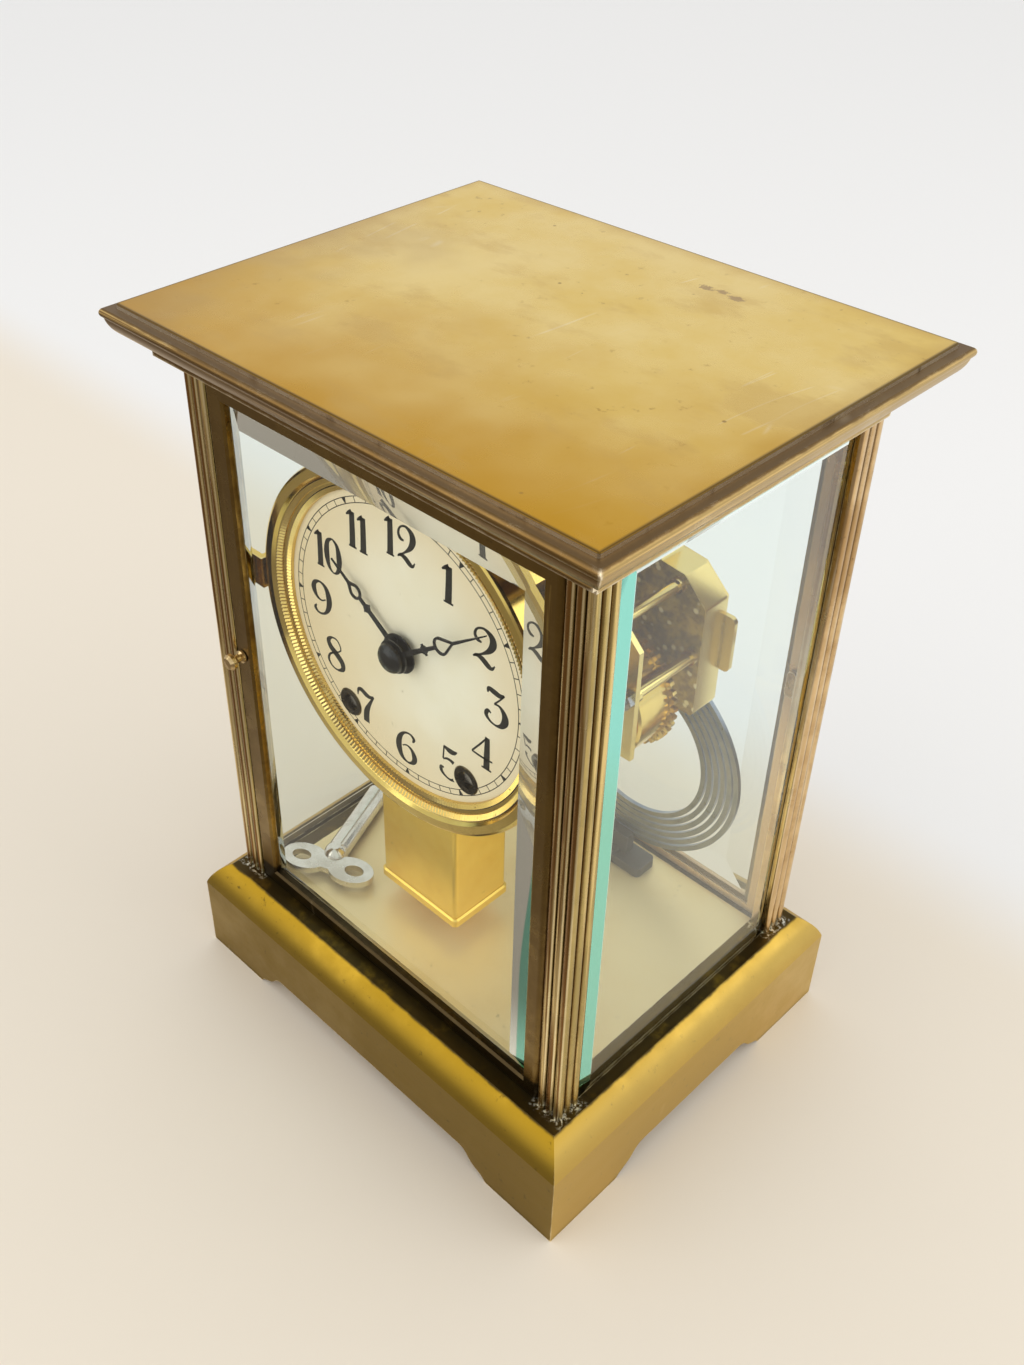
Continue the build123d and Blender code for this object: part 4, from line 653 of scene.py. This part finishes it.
knobBrass = {
    "clean": (0.78, 0.60, 0.32),
    "aged": (0.40, 0.26, 0.10),
    "tarnishScale": 120.0,
    "roughness": (0.14, 0.28),
    "rubReach": 0.0008,
    "rubAmount": 0.7,
    "rubbed": (0.95, 0.88, 0.74),
}
dress(brassFinish("knobBrass", knobBrass), "front_latch", "rear_latch")

bezelBrass = {
    "clean": (0.86, 0.62, 0.18),
    "aged": (0.62, 0.41, 0.09),
    "tarnishScale": 26.0,
    "tarnishAmount": 0.35,
    "roughness": (0.12, 0.24),
    "shadeAndDirtAmount": 0.8,
    "shadeAndDirtReach": 0.0016,
}
dress(brassFinish("bezelBrass", bezelBrass), "bezel", "mounting_lugs")

plateBrass = {
    "clean": (0.86, 0.68, 0.26),
    "aged": (0.70, 0.49, 0.14),
    "tarnishScale": 24.0,
    "tarnishAmount": 0.35,
    "stretch": (500.0, 30.0, 20.0),
    "roughness": (0.20, 0.34),
    "rubReach": 0.0006,
}
dress(brassFinish("plateBrass", plateBrass), "front_plate", "rear_cover", "dial_backplate", "plate_pillars",
      "dial_pillars", "suspension_cock", "escape_cock")

wheelBrass = {
    "clean": (0.90, 0.66, 0.20),
    "aged": (0.74, 0.49, 0.12),
    "tarnishScale": 60.0,
    "tarnishAmount": 0.25,
    "roughness": (0.14, 0.26),
    "rubReach": 0.0004,
}
dress(brassFinish("wheelBrass", wheelBrass), "time_barrel", "second_wheel", "centre_wheel", "third_wheel",
      "fourth_wheel", "escape_wheel", "strike_barrel", "pin_wheel", "warning_wheel", "fly", "cannon_pinion",
      "minute_wheel", "hour_wheel", "rating_nut")

bobBrass = {
    "clean": (0.98, 0.68, 0.13),
    "aged": (0.90, 0.56, 0.07),
    "tarnishScale": 26.0,
    "tarnishAmount": 0.45,
    "roughness": (0.30, 0.42),
    "stretch": (40.0, 40.0, 600.0),
    "metallic": 0.7,
}
dress(brassFinish("bobBrass", bobBrass), "pendulum_bob")

castFrameBrass = {
    "clean": (0.88, 0.71, 0.28),
    "aged": (0.74, 0.54, 0.16),
    "tarnishScale": 30.0,
    "tarnishAmount": 0.3,
    "roughness": (0.22, 0.34),
    "rubReach": 0.0006,
}

castFrameMottle = {
    "inner": (0.0301, 0.0304),          # the faces in front of this depth are the rough ones
    "dull": 0.75,
    "cloudScale": 220.0,
    "low": (0.26, 0.165, 0.03),
    "high": (0.60, 0.42, 0.09),
    "sparkScale": 310.0,
    "sparkSize": (0.18, 0.42),
    "sparkShare": (0.60, 0.72),
    # painted highlights: bright specks on the rough cast faces
    "sparkHighlightTone": (1.0, 0.90, 0.55),
}


def addMottle(finish, look):
    tree = finish.node_tree
    metal = shaderOf(finish)
    place = add(tree, "TexCoord").outputs["Object"]
    inner = levels(tree, alongAxis(tree, place, "Y"), *look["inner"], 1.0, 0.0)
    # painted highlights scattered over the rough cast faces
    pits = add(tree, "TexVoronoi", {"Vector": place, "Scale": look["sparkScale"]})
    sparkHighlight = levels(tree, pits.outputs["Distance"], *look["sparkSize"], 1.0, 0.0)
    some = levels(tree, add(tree, "SeparateColor", {0: pits.outputs["Color"]}).outputs[0], *look["sparkShare"])
    cloud = noise(tree, place, look["cloudScale"], 5.0, 0.7)
    rough = blendOf(tree, levels(tree, cloud, 0.35, 0.65), look["low"], look["high"])
    mottled = blendOf(tree, sums(tree, "MULTIPLY", sparkHighlight, some), rough, look["sparkHighlightTone"])
    colour = metal.inputs["Base Color"].links[0].from_socket
    feed(tree, metal.inputs["Base Color"], blendOf(tree, inner, colour, mottled))
    feed(tree, metal.inputs["Metallic"],
         sums(tree, "SUBTRACT", 1.0, sums(tree, "MULTIPLY", inner, look["dull"])))
    return finish


dress(addMottle(brassFinish("castFrameBrass", castFrameBrass), castFrameMottle), "rear_frame")
print("brass finished")


# steel, iron, black and nickel
metalDefaults = {
    "scale": 60.0,
    "bump": 0.04,
    "metallic": 1.0,
    "rubAmount": 0.3,
    "rubbed": (0.8, 0.8, 0.8),
}


def metalFinish(name, changes):
    look = {**metalDefaults, **changes}
    finish, tree = newTree(name)
    place = add(tree, "TexCoord").outputs["Object"]
    cloud = noise(tree, place, look["scale"], 5.0, 0.6)
    fine = noise(tree, place, look["scale"] * 9, 4.0, 0.7)
    edge = placeGroup(tree, edgeRub, Place=place, Reach=0.0005, Amount=look["rubAmount"])["Mask"]
    colour = blendOf(tree, levels(tree, cloud, 0.35, 0.65), look["tone"], look["second"])
    colour = blendOf(tree, sums(tree, "MULTIPLY", edge, 0.6), colour, look["rubbed"])
    rough = levels(tree, cloud, 0.3, 0.7, *look["roughness"])
    relief = add(tree, "Bump", {"Height": fine, "Strength": look["bump"], "Distance": 0.0003})
    metal = add(tree, "BsdfPrincipled", {"Base Color": colour, "Metallic": look["metallic"],
                                         "Roughness": rough, "Normal": relief.outputs[0]})
    add(tree, "OutputMaterial", {"Surface": metal.outputs[0]})
    return finish


arborSteel = {
    "tone": (0.55, 0.55, 0.56),
    "second": (0.38, 0.38, 0.40),
    "roughness": (0.18, 0.32),
}
dress(metalFinish("arborSteel", arborSteel), "time_winding_arbor", "strike_winding_arbor", "time_click",
      "strike_click", "plate_studs", "anchor", "pendulum_rod", "hammer", "case_screws")

gongBlueSteel = {
    "tone": (0.20, 0.24, 0.31),
    "second": (0.34, 0.36, 0.39),
    "roughness": (0.26, 0.40),
    "scale": 40.0,
}
dress(metalFinish("gongBlueSteel", gongBlueSteel), "gong_coil")

standIron = {
    "tone": (0.05, 0.05, 0.052),
    "second": (0.08, 0.078, 0.075),
    "roughness": (0.45, 0.6),
    "metallic": 0.6,
}
dress(metalFinish("standIron", standIron), "gong_stand")

keyNickel = {
    "tone": (0.78, 0.75, 0.68),
    "second": (0.60, 0.56, 0.48),
    "roughness": (0.18, 0.34),
}
dress(metalFinish("keyNickel", keyNickel), "winding_key")

handBlack = {
    "tone": (0.010, 0.011, 0.014),
    "second": (0.022, 0.024, 0.03),
    "roughness": (0.18, 0.30),
    "metallic": 0.2,
    "rubAmount": 0.1,
    "rubbed": (0.05, 0.055, 0.065),
}
dress(metalFinish("handBlack", handBlack), "minute_hand", "hour_hand", "hand_nut")

grommetDark = {
    "tone": (0.022, 0.018, 0.014),
    "second": (0.05, 0.038, 0.024),
    "roughness": (0.22, 0.36),
    "rubAmount": 0.35,
    "rubbed": (0.30, 0.22, 0.12),
}
dress(metalFinish("grommetDark", grommetDark), "dial_grommets")
print("steel finished")


def finishMesh(name, sheet, finish, body):
    bmesh.ops.recalc_face_normals(sheet, faces=sheet.faces)
    mesh = bpy.data.meshes.new(name)
    sheet.to_mesh(mesh)
    sheet.free()
    mesh.materials.append(finish)
    piece = bpy.data.objects.new(name, mesh)
    bpy.context.collection.objects.link(piece)
    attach(piece, body)
    return piece


# glass
glassLook = {
    "ior": 1.5,
    "roughness": 0.0,
    "shine": (0.0, 0.0, 0.0),           # black, so that the panes don't cloud what stands behind them
    "tint": (0.985, 1.0, 0.99),
    "frontTint": (1.0, 0.99, 0.96),
    "edgeTone": (0.11, 0.57, 0.42),
    "depthTone": (0.45, 0.92, 0.78),
    "depth": 14.0,
    "sideEdge": (0.0441, 0.2434),       # where the green edge starts: towards the front, and up
    "frontEdge": (0.0618, 0.2402),
    "noEdge": (1.0, 1.0),               # past the pane, so no green shows
    "edgeFade": 0.0005,
    "low": (0.09, 0.16),                # the door's green edge is wider below these heights
    "lowExtra": 0.0032,
    "ripple": 0.05,
}


def glassFinish(name, look, axis, edge):
    finish, tree = newTree(name)
    place = add(tree, "TexCoord").outputs["Object"]
    parts = add(tree, "SeparateXYZ", {0: place}).outputs
    along = sums(tree, "MULTIPLY", parts[axis], -1.0 if axis == "Y" else 1.0)
    if axis == "X":
        wider = levels(tree, parts["Z"], *look["low"], look["lowExtra"], 0.0)
        along = sums(tree, "ADD", along, wider)
    outer = sums(tree, "MAXIMUM", sums(tree, "ADD", along, -edge[0]),
                 sums(tree, "ADD", parts["Z"], -edge[1]))
    tint = blendOf(tree, levels(tree, outer, 0.0, look["edgeFade"]), look["tint"], look["edgeTone"])
    ripple = noise(tree, place, 14.0, 2.0)
    relief = add(tree, "Bump", {"Height": ripple, "Strength": look["ripple"], "Distance": 0.0005})
    pane = add(tree, "BsdfPrincipled", {"Base Color": tint, "Roughness": look["roughness"],
                                        "IOR": look["ior"], "Transmission Weight": 1.0,
                                        "Specular Tint": look["shine"],
                                        "Normal": relief.outputs[0]})
    path = add(tree, "LightPath").outputs
    mirrored = sums(tree, "SUBTRACT", path["Is Glossy Ray"], path["Is Transmission Ray"], limit=True)
    away = sums(tree, "MAXIMUM", path["Is Shadow Ray"],
                sums(tree, "MAXIMUM", path["Is Diffuse Ray"], mirrored))
    clear = add(tree, "BsdfTransparent")
    both = add(tree, "MixShader", {0: away, 1: pane.outputs[0], 2: clear.outputs[0]})
    inside = add(tree, "VolumeAbsorption", {"Color": look["depthTone"], "Density": look["depth"]})
    add(tree, "OutputMaterial", {"Surface": both.outputs[0], "Volume": inside.outputs[0]})
    return finish


dress(glassFinish("sidePlateGlass", glassLook, "Y", glassLook["sideEdge"]), "side_glass_right")
dress(glassFinish("farPlateGlass", glassLook, "Y", glassLook["noEdge"]), "side_glass_left", "rear_glass")
doorGlass = glassFinish("doorPlateGlass", {**glassLook, "tint": glassLook["frontTint"]}, "X",
                        glassLook["frontEdge"])

paneLook = {
    "tuck": 0.002,              # how far the pane reaches into the door frame
    "bevel": 0.0084,
    "atFrame": 0.0014,          # thickness left where the frame covers it
}


def makeDoorPane(look, finish):
    low, high = (Vector(corner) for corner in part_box("front_glass"))
    full = high.y - low.y
    slope = (full - look["atFrame"]) / (look["bevel"] - look["tuck"])
    edge = look["atFrame"] - slope * look["tuck"]
    sheet = bmesh.new()
    rings = []
    for inset, y in ((0.0, high.y), (0.0, high.y - edge), (look["bevel"], low.y)):
        rings.append([sheet.verts.new((x, y, z)) for x, z in (
            (low.x + inset, low.z + inset), (high.x - inset, low.z + inset),
            (high.x - inset, high.z - inset), (low.x + inset, high.z - inset))])
    for one, two in zip(rings, rings[1:]):
        for i in range(4):
            j = (i + 1) % 4
            sheet.faces.new((one[i], one[j], two[j], two[i]))
    sheet.faces.new(rings[0])
    sheet.faces.new(rings[-1])
    pane = finishMesh("frontPane", sheet, finish, "front_door")
    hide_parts("front_glass")


makeDoorPane(paneLook, doorGlass)
print("glass finished")


# dial
dialLook = {
    "centre": (0, -0.0458, 0.1795),     # the dial's face
    "numeralRadius": 0.0375,
    "numeralHeight": 0.0122,
    "pen": 1.28,
    "holes": ((-0.026, 0.145), (0.026, 0.145)),
    "holeRadius": 0.0051,
    "track": (0.0463, 0.0483),
    "ink": 0.00003,
    "ring": (0.0506, 0.0525),
    "band": (0.0536, 0.0555),
    "ridges": 270,
    "ridgeHeight": 0.00042,
    "ridgeLip": 0.0002,
    "ringRise": (0.0, 0.0009, 0.0013, 0.0),
    "bandRise": (0.0012, 0.0019, 0.0029, 0.0012),
    "trackPen": 0.00026,
    "minuteBar": (0.0003, 0.0003),      # width of the bar at the inner and the outer ring
    "hourBar": (0.0004, 0.0019),
    "pale": (0.98, 0.93, 0.80),
    "cream": (0.90, 0.83, 0.66),
    # painted shade of the case: the dial gets warmer and darker towards the left and the bottom
    "warmShadeBand": (0.020, 0.085),
    "warmShadeTone": (0.86, 0.70, 0.44),
    "outerBand": (0.022, 0.050),
    "outerTone": (0.84, 0.68, 0.44),
    "speckTone": (0.42, 0.33, 0.18),
    "roughness": (0.30, 0.42),
}


def dialFinish(look):
    finish, tree = newTree("silveredDial")
    place = add(tree, "TexCoord").outputs["Object"]
    parts = add(tree, "SeparateXYZ", {0: place}).outputs
    cloud = noise(tree, place, 34.0, 5.0, 0.6)
    fine = noise(tree, place, 900.0, 3.0, 0.7)
    specks = levels(tree, noise(tree, place, 260.0, 4.0, 0.7), 0.66, 0.76)
    sway = sums(tree, "MULTIPLY", sums(tree, "SUBTRACT", noise(tree, place, 20.0, 3.0), 0.5), 0.05)
    slope = sums(tree, "ADD", sums(tree, "MULTIPLY", parts["X"], 0.8),
                 sums(tree, "MULTIPLY", parts["Z"], 0.35))
    # painted shade of the case, warmer and darker towards the left and the bottom, broken up by a cloud
    warmShade = levels(tree, sums(tree, "ADD", slope, sway), *look["warmShadeBand"], 0.85, 0.0)
    colour = blendOf(tree, levels(tree, cloud, 0.3, 0.7), look["pale"], look["cream"])
    colour = blendOf(tree, warmShade, colour, look["warmShadeTone"])
    centred = add(tree, "VectorMath", {0: place, 1: look["centre"]}, operation="DISTANCE")
    ragged = sums(tree, "ADD", centred.outputs["Value"], sums(tree, "MULTIPLY", sway, 0.35))
    outer = levels(tree, ragged, *look["outerBand"], 0.0, 0.7)
    colour = blendOf(tree, outer, colour, look["outerTone"])
    colour = blendOf(tree, sums(tree, "MULTIPLY", specks, 0.5), colour, look["speckTone"])
    rough = levels(tree, cloud, 0.3, 0.7, *look["roughness"])
    relief = add(tree, "Bump", {"Height": fine, "Strength": 0.12, "Distance": 0.0002})
    face = add(tree, "BsdfPrincipled", {"Base Color": colour, "Metallic": 0.0, "Roughness": rough,
                                        "Normal": relief.outputs[0]})
    add(tree, "OutputMaterial", {"Surface": face.outputs[0]})
    return finish


dress(dialFinish(dialLook), "dial")


# pen strokes of each figure: across, up and width, in parts of its height
figureStrokes = {
    "0": (((0.0, 1.0, 0.04), (-0.20, 0.86, 0.11), (-0.27, 0.5, 0.17), (-0.20, 0.14, 0.11), (0.0, 0.0, 0.04),
           (0.20, 0.14, 0.11), (0.27, 0.5, 0.17), (0.20, 0.86, 0.11), (0.0, 1.0, 0.04)),),
    "1": (((-0.20, 0.85, 0.03), (-0.10, 0.92, 0.08), (0.03, 0.99, 0.12)),
          ((0.03, 1.0, 0.15), (0.02, 0.5, 0.16), (0.0, 0.02, 0.17)),
          ((-0.15, 0.01, 0.04), (0.16, 0.02, 0.045))),
    "2": (((-0.06, 0.60, 0.04), (-0.20, 0.62, 0.09), (-0.27, 0.75, 0.07), (-0.19, 0.92, 0.045),
           (0.02, 1.0, 0.06), (0.24, 0.90, 0.14), (0.30, 0.72, 0.17), (0.20, 0.50, 0.12), (-0.02, 0.30, 0.05),
           (-0.30, 0.12, 0.035)),
          ((-0.33, 0.09, 0.03), (-0.20, 0.17, 0.08), (-0.02, 0.14, 0.13), (0.16, 0.04, 0.13),
           (0.28, 0.03, 0.07), (0.36, 0.14, 0.025))),
    "3": (((-0.26, 0.84, 0.03), (-0.22, 0.96, 0.10), (-0.05, 0.95, 0.13), (0.12, 0.93, 0.11),
           (0.27, 1.0, 0.045)),
          ((0.26, 0.99, 0.035), (0.12, 0.80, 0.035), (-0.03, 0.62, 0.04)),
          ((-0.05, 0.60, 0.03), (0.12, 0.62, 0.06), (0.27, 0.48, 0.13), (0.31, 0.28, 0.17),
           (0.20, 0.08, 0.11), (0.02, 0.0, 0.05), (-0.18, 0.04, 0.06), (-0.30, 0.17, 0.10),
           (-0.24, 0.31, 0.08), (-0.14, 0.28, 0.03))),
    "4": (((0.16, 1.0, 0.035), (-0.06, 0.68, 0.04), (-0.33, 0.32, 0.04)),
          ((-0.34, 0.31, 0.045), (0.0, 0.30, 0.05), (0.34, 0.33, 0.04)),
          ((0.17, 1.0, 0.12), (0.16, 0.5, 0.15), (0.15, 0.02, 0.16)),
          ((-0.01, 0.01, 0.04), (0.31, 0.02, 0.045))),
    "5": (((-0.18, 0.98, 0.05), (0.0, 0.93, 0.13), (0.16, 0.95, 0.11), (0.28, 1.03, 0.03)),
          ((-0.17, 0.98, 0.04), (-0.21, 0.55, 0.04)),
          ((-0.21, 0.54, 0.03), (-0.05, 0.63, 0.06), (0.16, 0.60, 0.10), (0.29, 0.42, 0.16),
           (0.28, 0.20, 0.15), (0.12, 0.02, 0.07), (-0.08, 0.0, 0.05), (-0.26, 0.10, 0.09),
           (-0.28, 0.24, 0.08), (-0.18, 0.27, 0.03))),
    "6": (((0.22, 0.78, 0.03), (0.27, 0.91, 0.09), (0.12, 1.0, 0.05), (-0.10, 0.92, 0.06),
           (-0.26, 0.68, 0.13), (-0.30, 0.38, 0.17), (-0.20, 0.10, 0.12), (0.02, 0.0, 0.05),
           (0.22, 0.10, 0.10), (0.28, 0.30, 0.15), (0.18, 0.50, 0.09), (0.0, 0.56, 0.04),
           (-0.16, 0.47, 0.03)),),
    "7": (((-0.30, 0.76, 0.03), (-0.27, 0.94, 0.07), (-0.14, 0.99, 0.12), (0.02, 0.93, 0.13),
           (0.18, 0.92, 0.09), (0.32, 1.0, 0.04)),
          ((0.32, 0.99, 0.04), (0.14, 0.66, 0.09), (0.02, 0.35, 0.16), (0.0, 0.01, 0.17))),
    "8": (((0.22, 0.84, 0.04), (0.10, 0.98, 0.04), (-0.10, 0.97, 0.05), (-0.24, 0.82, 0.12),
           (-0.16, 0.64, 0.16), (0.06, 0.50, 0.17), (0.26, 0.32, 0.16), (0.26, 0.12, 0.11),
           (0.06, 0.0, 0.05), (-0.16, 0.03, 0.05), (-0.28, 0.20, 0.07), (-0.20, 0.40, 0.05),
           (0.04, 0.56, 0.035), (0.22, 0.70, 0.035), (0.22, 0.84, 0.04)),),
}
figureStrokes["9"] = tuple(tuple((-x, 1 - y, w) for x, y, w in stroke) for stroke in figureStrokes["6"])
hourFigures = {                 # figures of each hour with their places across, and how far they are squeezed
    10: ((("1", -0.34), ("0", 0.16)), 0.86),
    11: ((("1", -0.19), ("1", 0.20)), 0.9),
    12: ((("1", -0.38), ("2", 0.15)), 0.84),
}


def smoothStroke(points, steps=5):
    ends = [points[0], *points, points[-1]]
    run = []
    for i in range(1, len(ends) - 2):
        before, start, stop, after = ends[i - 1:i + 3]
        for step in range(steps):
            t = step / steps
            run.append(tuple(0.5 * (2 * b + (c - a) * t + (2 * a - 5 * b + 4 * c - d) * t * t
                                    + (3 * b - a - 3 * c + d) * t ** 3)
                             for a, b, c, d in zip(before, start, stop, after)))
    run.append(points[-1])
    return run


def addRibbon(sheet, points, back, thick):
    rows = []
    for i, (x, z, width) in enumerate(points):
        ahead, behind = points[min(i + 1, len(points) - 1)], points[max(i - 1, 0)]
        along = Vector((ahead[0] - behind[0], 0, ahead[1] - behind[1])).normalized()
        side = Vector((-along.z, 0, along.x)) * (width / 2)
        spot = Vector((x, back, z))
        front = Vector((0, -thick, 0))
        rows.append([sheet.verts.new(spot + sign * side + lift)
                     for lift in (front, Vector()) for sign in (1, -1)])
    for one, two in zip(rows, rows[1:]):
        for a, b in ((0, 1), (1, 3), (3, 2), (2, 0)):
            sheet.faces.new((one[a], one[b], two[b], two[a]))
    for row in (rows[0], rows[-1]):
        sheet.faces.new((row[0], row[1], row[3], row[2]))


def makeFigures(look, finish):
    sheet = bmesh.new()
    cx, back, cz = look["centre"]
    high = look["numeralHeight"]
    for hour in range(1, 13):
        figures, squeeze = hourFigures.get(hour, (((str(hour), 0.0),), 1.0))
        angle = math.radians(30 * hour)
        x0 = cx + look["numeralRadius"] * math.sin(angle)
        z0 = cz + look["numeralRadius"] * math.cos(angle) - high / 2
        for figure, shift in figures:
            for stroke in figureStrokes[figure]:
                placed = [(x0 + (x * squeeze + shift) * high, z0 + z * high,
                           w * high * look["pen"] * squeeze ** 0.5)
                          for x, z, w in smoothStroke(stroke)]
                run = []
                for point in placed:
                    clear = all(math.hypot(point[0] - x, point[1] - z) > look["holeRadius"] + point[2] / 2
                                for x, z in look["holes"])
                    if clear:
                        run.append(point)
                    elif len(run) > 1:
                        addRibbon(sheet, run, back, look["ink"])
                    if not clear:
                        run = []
                if len(run) > 1:
                    addRibbon(sheet, run, back, look["ink"])
    return finishMesh("dialFigures", sheet, finish, "case")


def makeMinuteTrack(look, finish):
    sheet = bmesh.new()
    cx, back, cz = look["centre"]
    inner, outer = look["track"]
    for radius in (inner, outer):
        ring = []
        for degrees in range(0, 361, 2):
            a = math.radians(degrees)
            ring.append((cx + radius * math.sin(a), cz + radius * math.cos(a), look["trackPen"]))
        half = len(ring) // 2
        addRibbon(sheet, ring[:half + 1], back, look["ink"])
        addRibbon(sheet, ring[half:], back, look["ink"])
    for minute in range(60):
        a = math.radians(6 * minute)
        widths = look["minuteBar"] if minute % 5 else look["hourBar"]
        bar = [(cx + r * math.sin(a), cz + r * math.cos(a), w) for r, w in zip((inner, outer), widths)]
        addRibbon(sheet, bar, back, look["ink"])
    return finishMesh("minuteTrack", sheet, finish, "case")


def addRidgedBand(sheet, look, profile):
    cx, back, cz = look["centre"]
    rows = []
    for k in range(2 * look["ridges"]):
        a = math.pi * k / look["ridges"]
        rise = look["ridgeHeight"] if k % 2 else 0.0
        rows.append([sheet.verts.new((cx + r * math.sin(a), back - y - rise * top, cz + r * math.cos(a)))
                     for r, y, top in profile])
    for one, two in zip(rows, rows[1:] + rows[:1]):
        for i in range(len(one)):
            j = (i + 1) % len(one)
            sheet.faces.new((one[i], one[j], two[j], two[i]))


def makeRing(name, look, reach, rises, finish):
    sheet = bmesh.new()
    low, high = reach
    lip = look["ridgeLip"]
    addRidgedBand(sheet, look, tuple(zip((low, low + lip, high - lip, high), rises, (0, 1, 1, 0))))
    return finishMesh(name, sheet, finish, "case")


dialInk = {
    "tone": (0.005, 0.005, 0.005),
    "second": (0.014, 0.012, 0.010),
    "roughness": (0.5, 0.65),
    "scale": 400.0,
    "metallic": 0.0,
    "rubAmount": 0.0,
    "rubbed": (0.02, 0.018, 0.016),
}
ringBrass = {
    "clean": (0.95, 0.72, 0.27),
    "aged": (0.76, 0.52, 0.13),
    "dark": (0.06, 0.035, 0.01),
    "roughness": (0.16, 0.28),
    "shadeAndDirtReach": 0.0006,
    "shadeAndDirtAmount": 0.95,
    "rubAmount": 0.2,
    "rubReach": 0.0002,
}
inkFinish = metalFinish("dialInk", dialInk)
ringFinish = brassFinish("ringBrass", ringBrass)
makeFigures(dialLook, inkFinish)
makeMinuteTrack(dialLook, inkFinish)
milledRing = makeRing("milledRing", dialLook, dialLook["ring"], dialLook["ringRise"], ringFinish)
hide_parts("milled_ring")
makeRing("bezelKnurl", dialLook, dialLook["band"], dialLook["bandRise"], ringFinish)
print("dial finished")


# floor and light
roomLook = {
    "floor": (0.80, 0.725, 0.61),
    "wall": (0.84, 0.835, 0.825),
    "edge": (0.125, 0.195),     # the shelf turns into the wall here, behind the clock
    "front": (-0.175, -0.105),  # past this only mirror rays see a dark room, so front faces of brass show it
    "roomTone": (0.21, 0.17, 0.125),
    "roughness": 0.6,
    "floorReach": 4.0,
    "world": 0.95,
    "lampSize": 1.2,
    "lampAim": (0, 0, 0.12),
    "window": {"place": (1.1, 0.5, 1.0), "power": 4.5, "tone": (1.0, 0.98, 0.95)},
    "room": {"place": (-0.7, -1.3, 0.75), "power": 5.0, "tone": (1.0, 0.97, 0.93)},
}


def makeFloor(look):
    sheet = bmesh.new()
    bmesh.ops.create_grid(sheet, x_segments=1, y_segments=1, size=look["floorReach"])
    mesh = bpy.data.meshes.new("floor")
    sheet.to_mesh(mesh)
    sheet.free()
    floor = bpy.data.objects.new("floor", mesh)
    bpy.context.collection.objects.link(floor)
    finish, tree = newTree("paleFloor")
    place = add(tree, "TexCoord").outputs["Object"]
    along = alongAxis(tree, place, "Y")
    far = levels(tree, along, *look["edge"])
    colour = blendOf(tree, far, look["floor"], look["wall"])
    path = add(tree, "LightPath").outputs
    mirrored = sums(tree, "SUBTRACT", path["Is Glossy Ray"], path["Is Transmission Ray"], limit=True)
    room = levels(tree, along, *look["front"], 1.0, 0.0)
    colour = blendOf(tree, sums(tree, "MULTIPLY", mirrored, room), colour, look["roomTone"])
    board = add(tree, "BsdfPrincipled", {"Base Color": colour, "Roughness": look["roughness"]})
    add(tree, "OutputMaterial", {"Surface": board.outputs[0]})
    mesh.materials.append(finish)


def makeWorld(look):
    world = bpy.data.worlds.new("room")
    bpy.context.scene.world = world
    world.use_nodes = True
    tree = world.node_tree
    tree.nodes.clear()
    path = add(tree, "LightPath").outputs
    seen = sums(tree, "MAXIMUM", path["Is Camera Ray"],
                sums(tree, "MAXIMUM", path["Is Glossy Ray"], path["Is Transmission Ray"]))
    lit = add(tree, "Background", {"Color": (1.0, 1.0, 1.0), "Strength": look["world"]})
    shown = add(tree, "Background", {"Color": look["wall"], "Strength": 1.0})
    both = add(tree, "MixShader", {0: seen, 1: lit.outputs[0], 2: shown.outputs[0]})
    add(tree, "OutputWorld", {"Surface": both.outputs[0]})


def addLamp(name, look):
    chosen = look[name]
    lamp = bpy.data.lights.new(name, "AREA")
    lamp.shape, lamp.size = "SQUARE", look["lampSize"]
    lamp.energy, lamp.color = chosen["power"], chosen["tone"]
    holder = bpy.data.objects.new(name, lamp)
    holder.location = chosen["place"]
    aim = Vector(look["lampAim"]) - Vector(chosen["place"])
    holder.rotation_euler = aim.to_track_quat("-Z", "Y").to_euler()
    bpy.context.collection.objects.link(holder)


makeFloor(roomLook)
makeWorld(roomLook)
addLamp("window", roomLook)
addLamp("room", roomLook)
print("room lit")
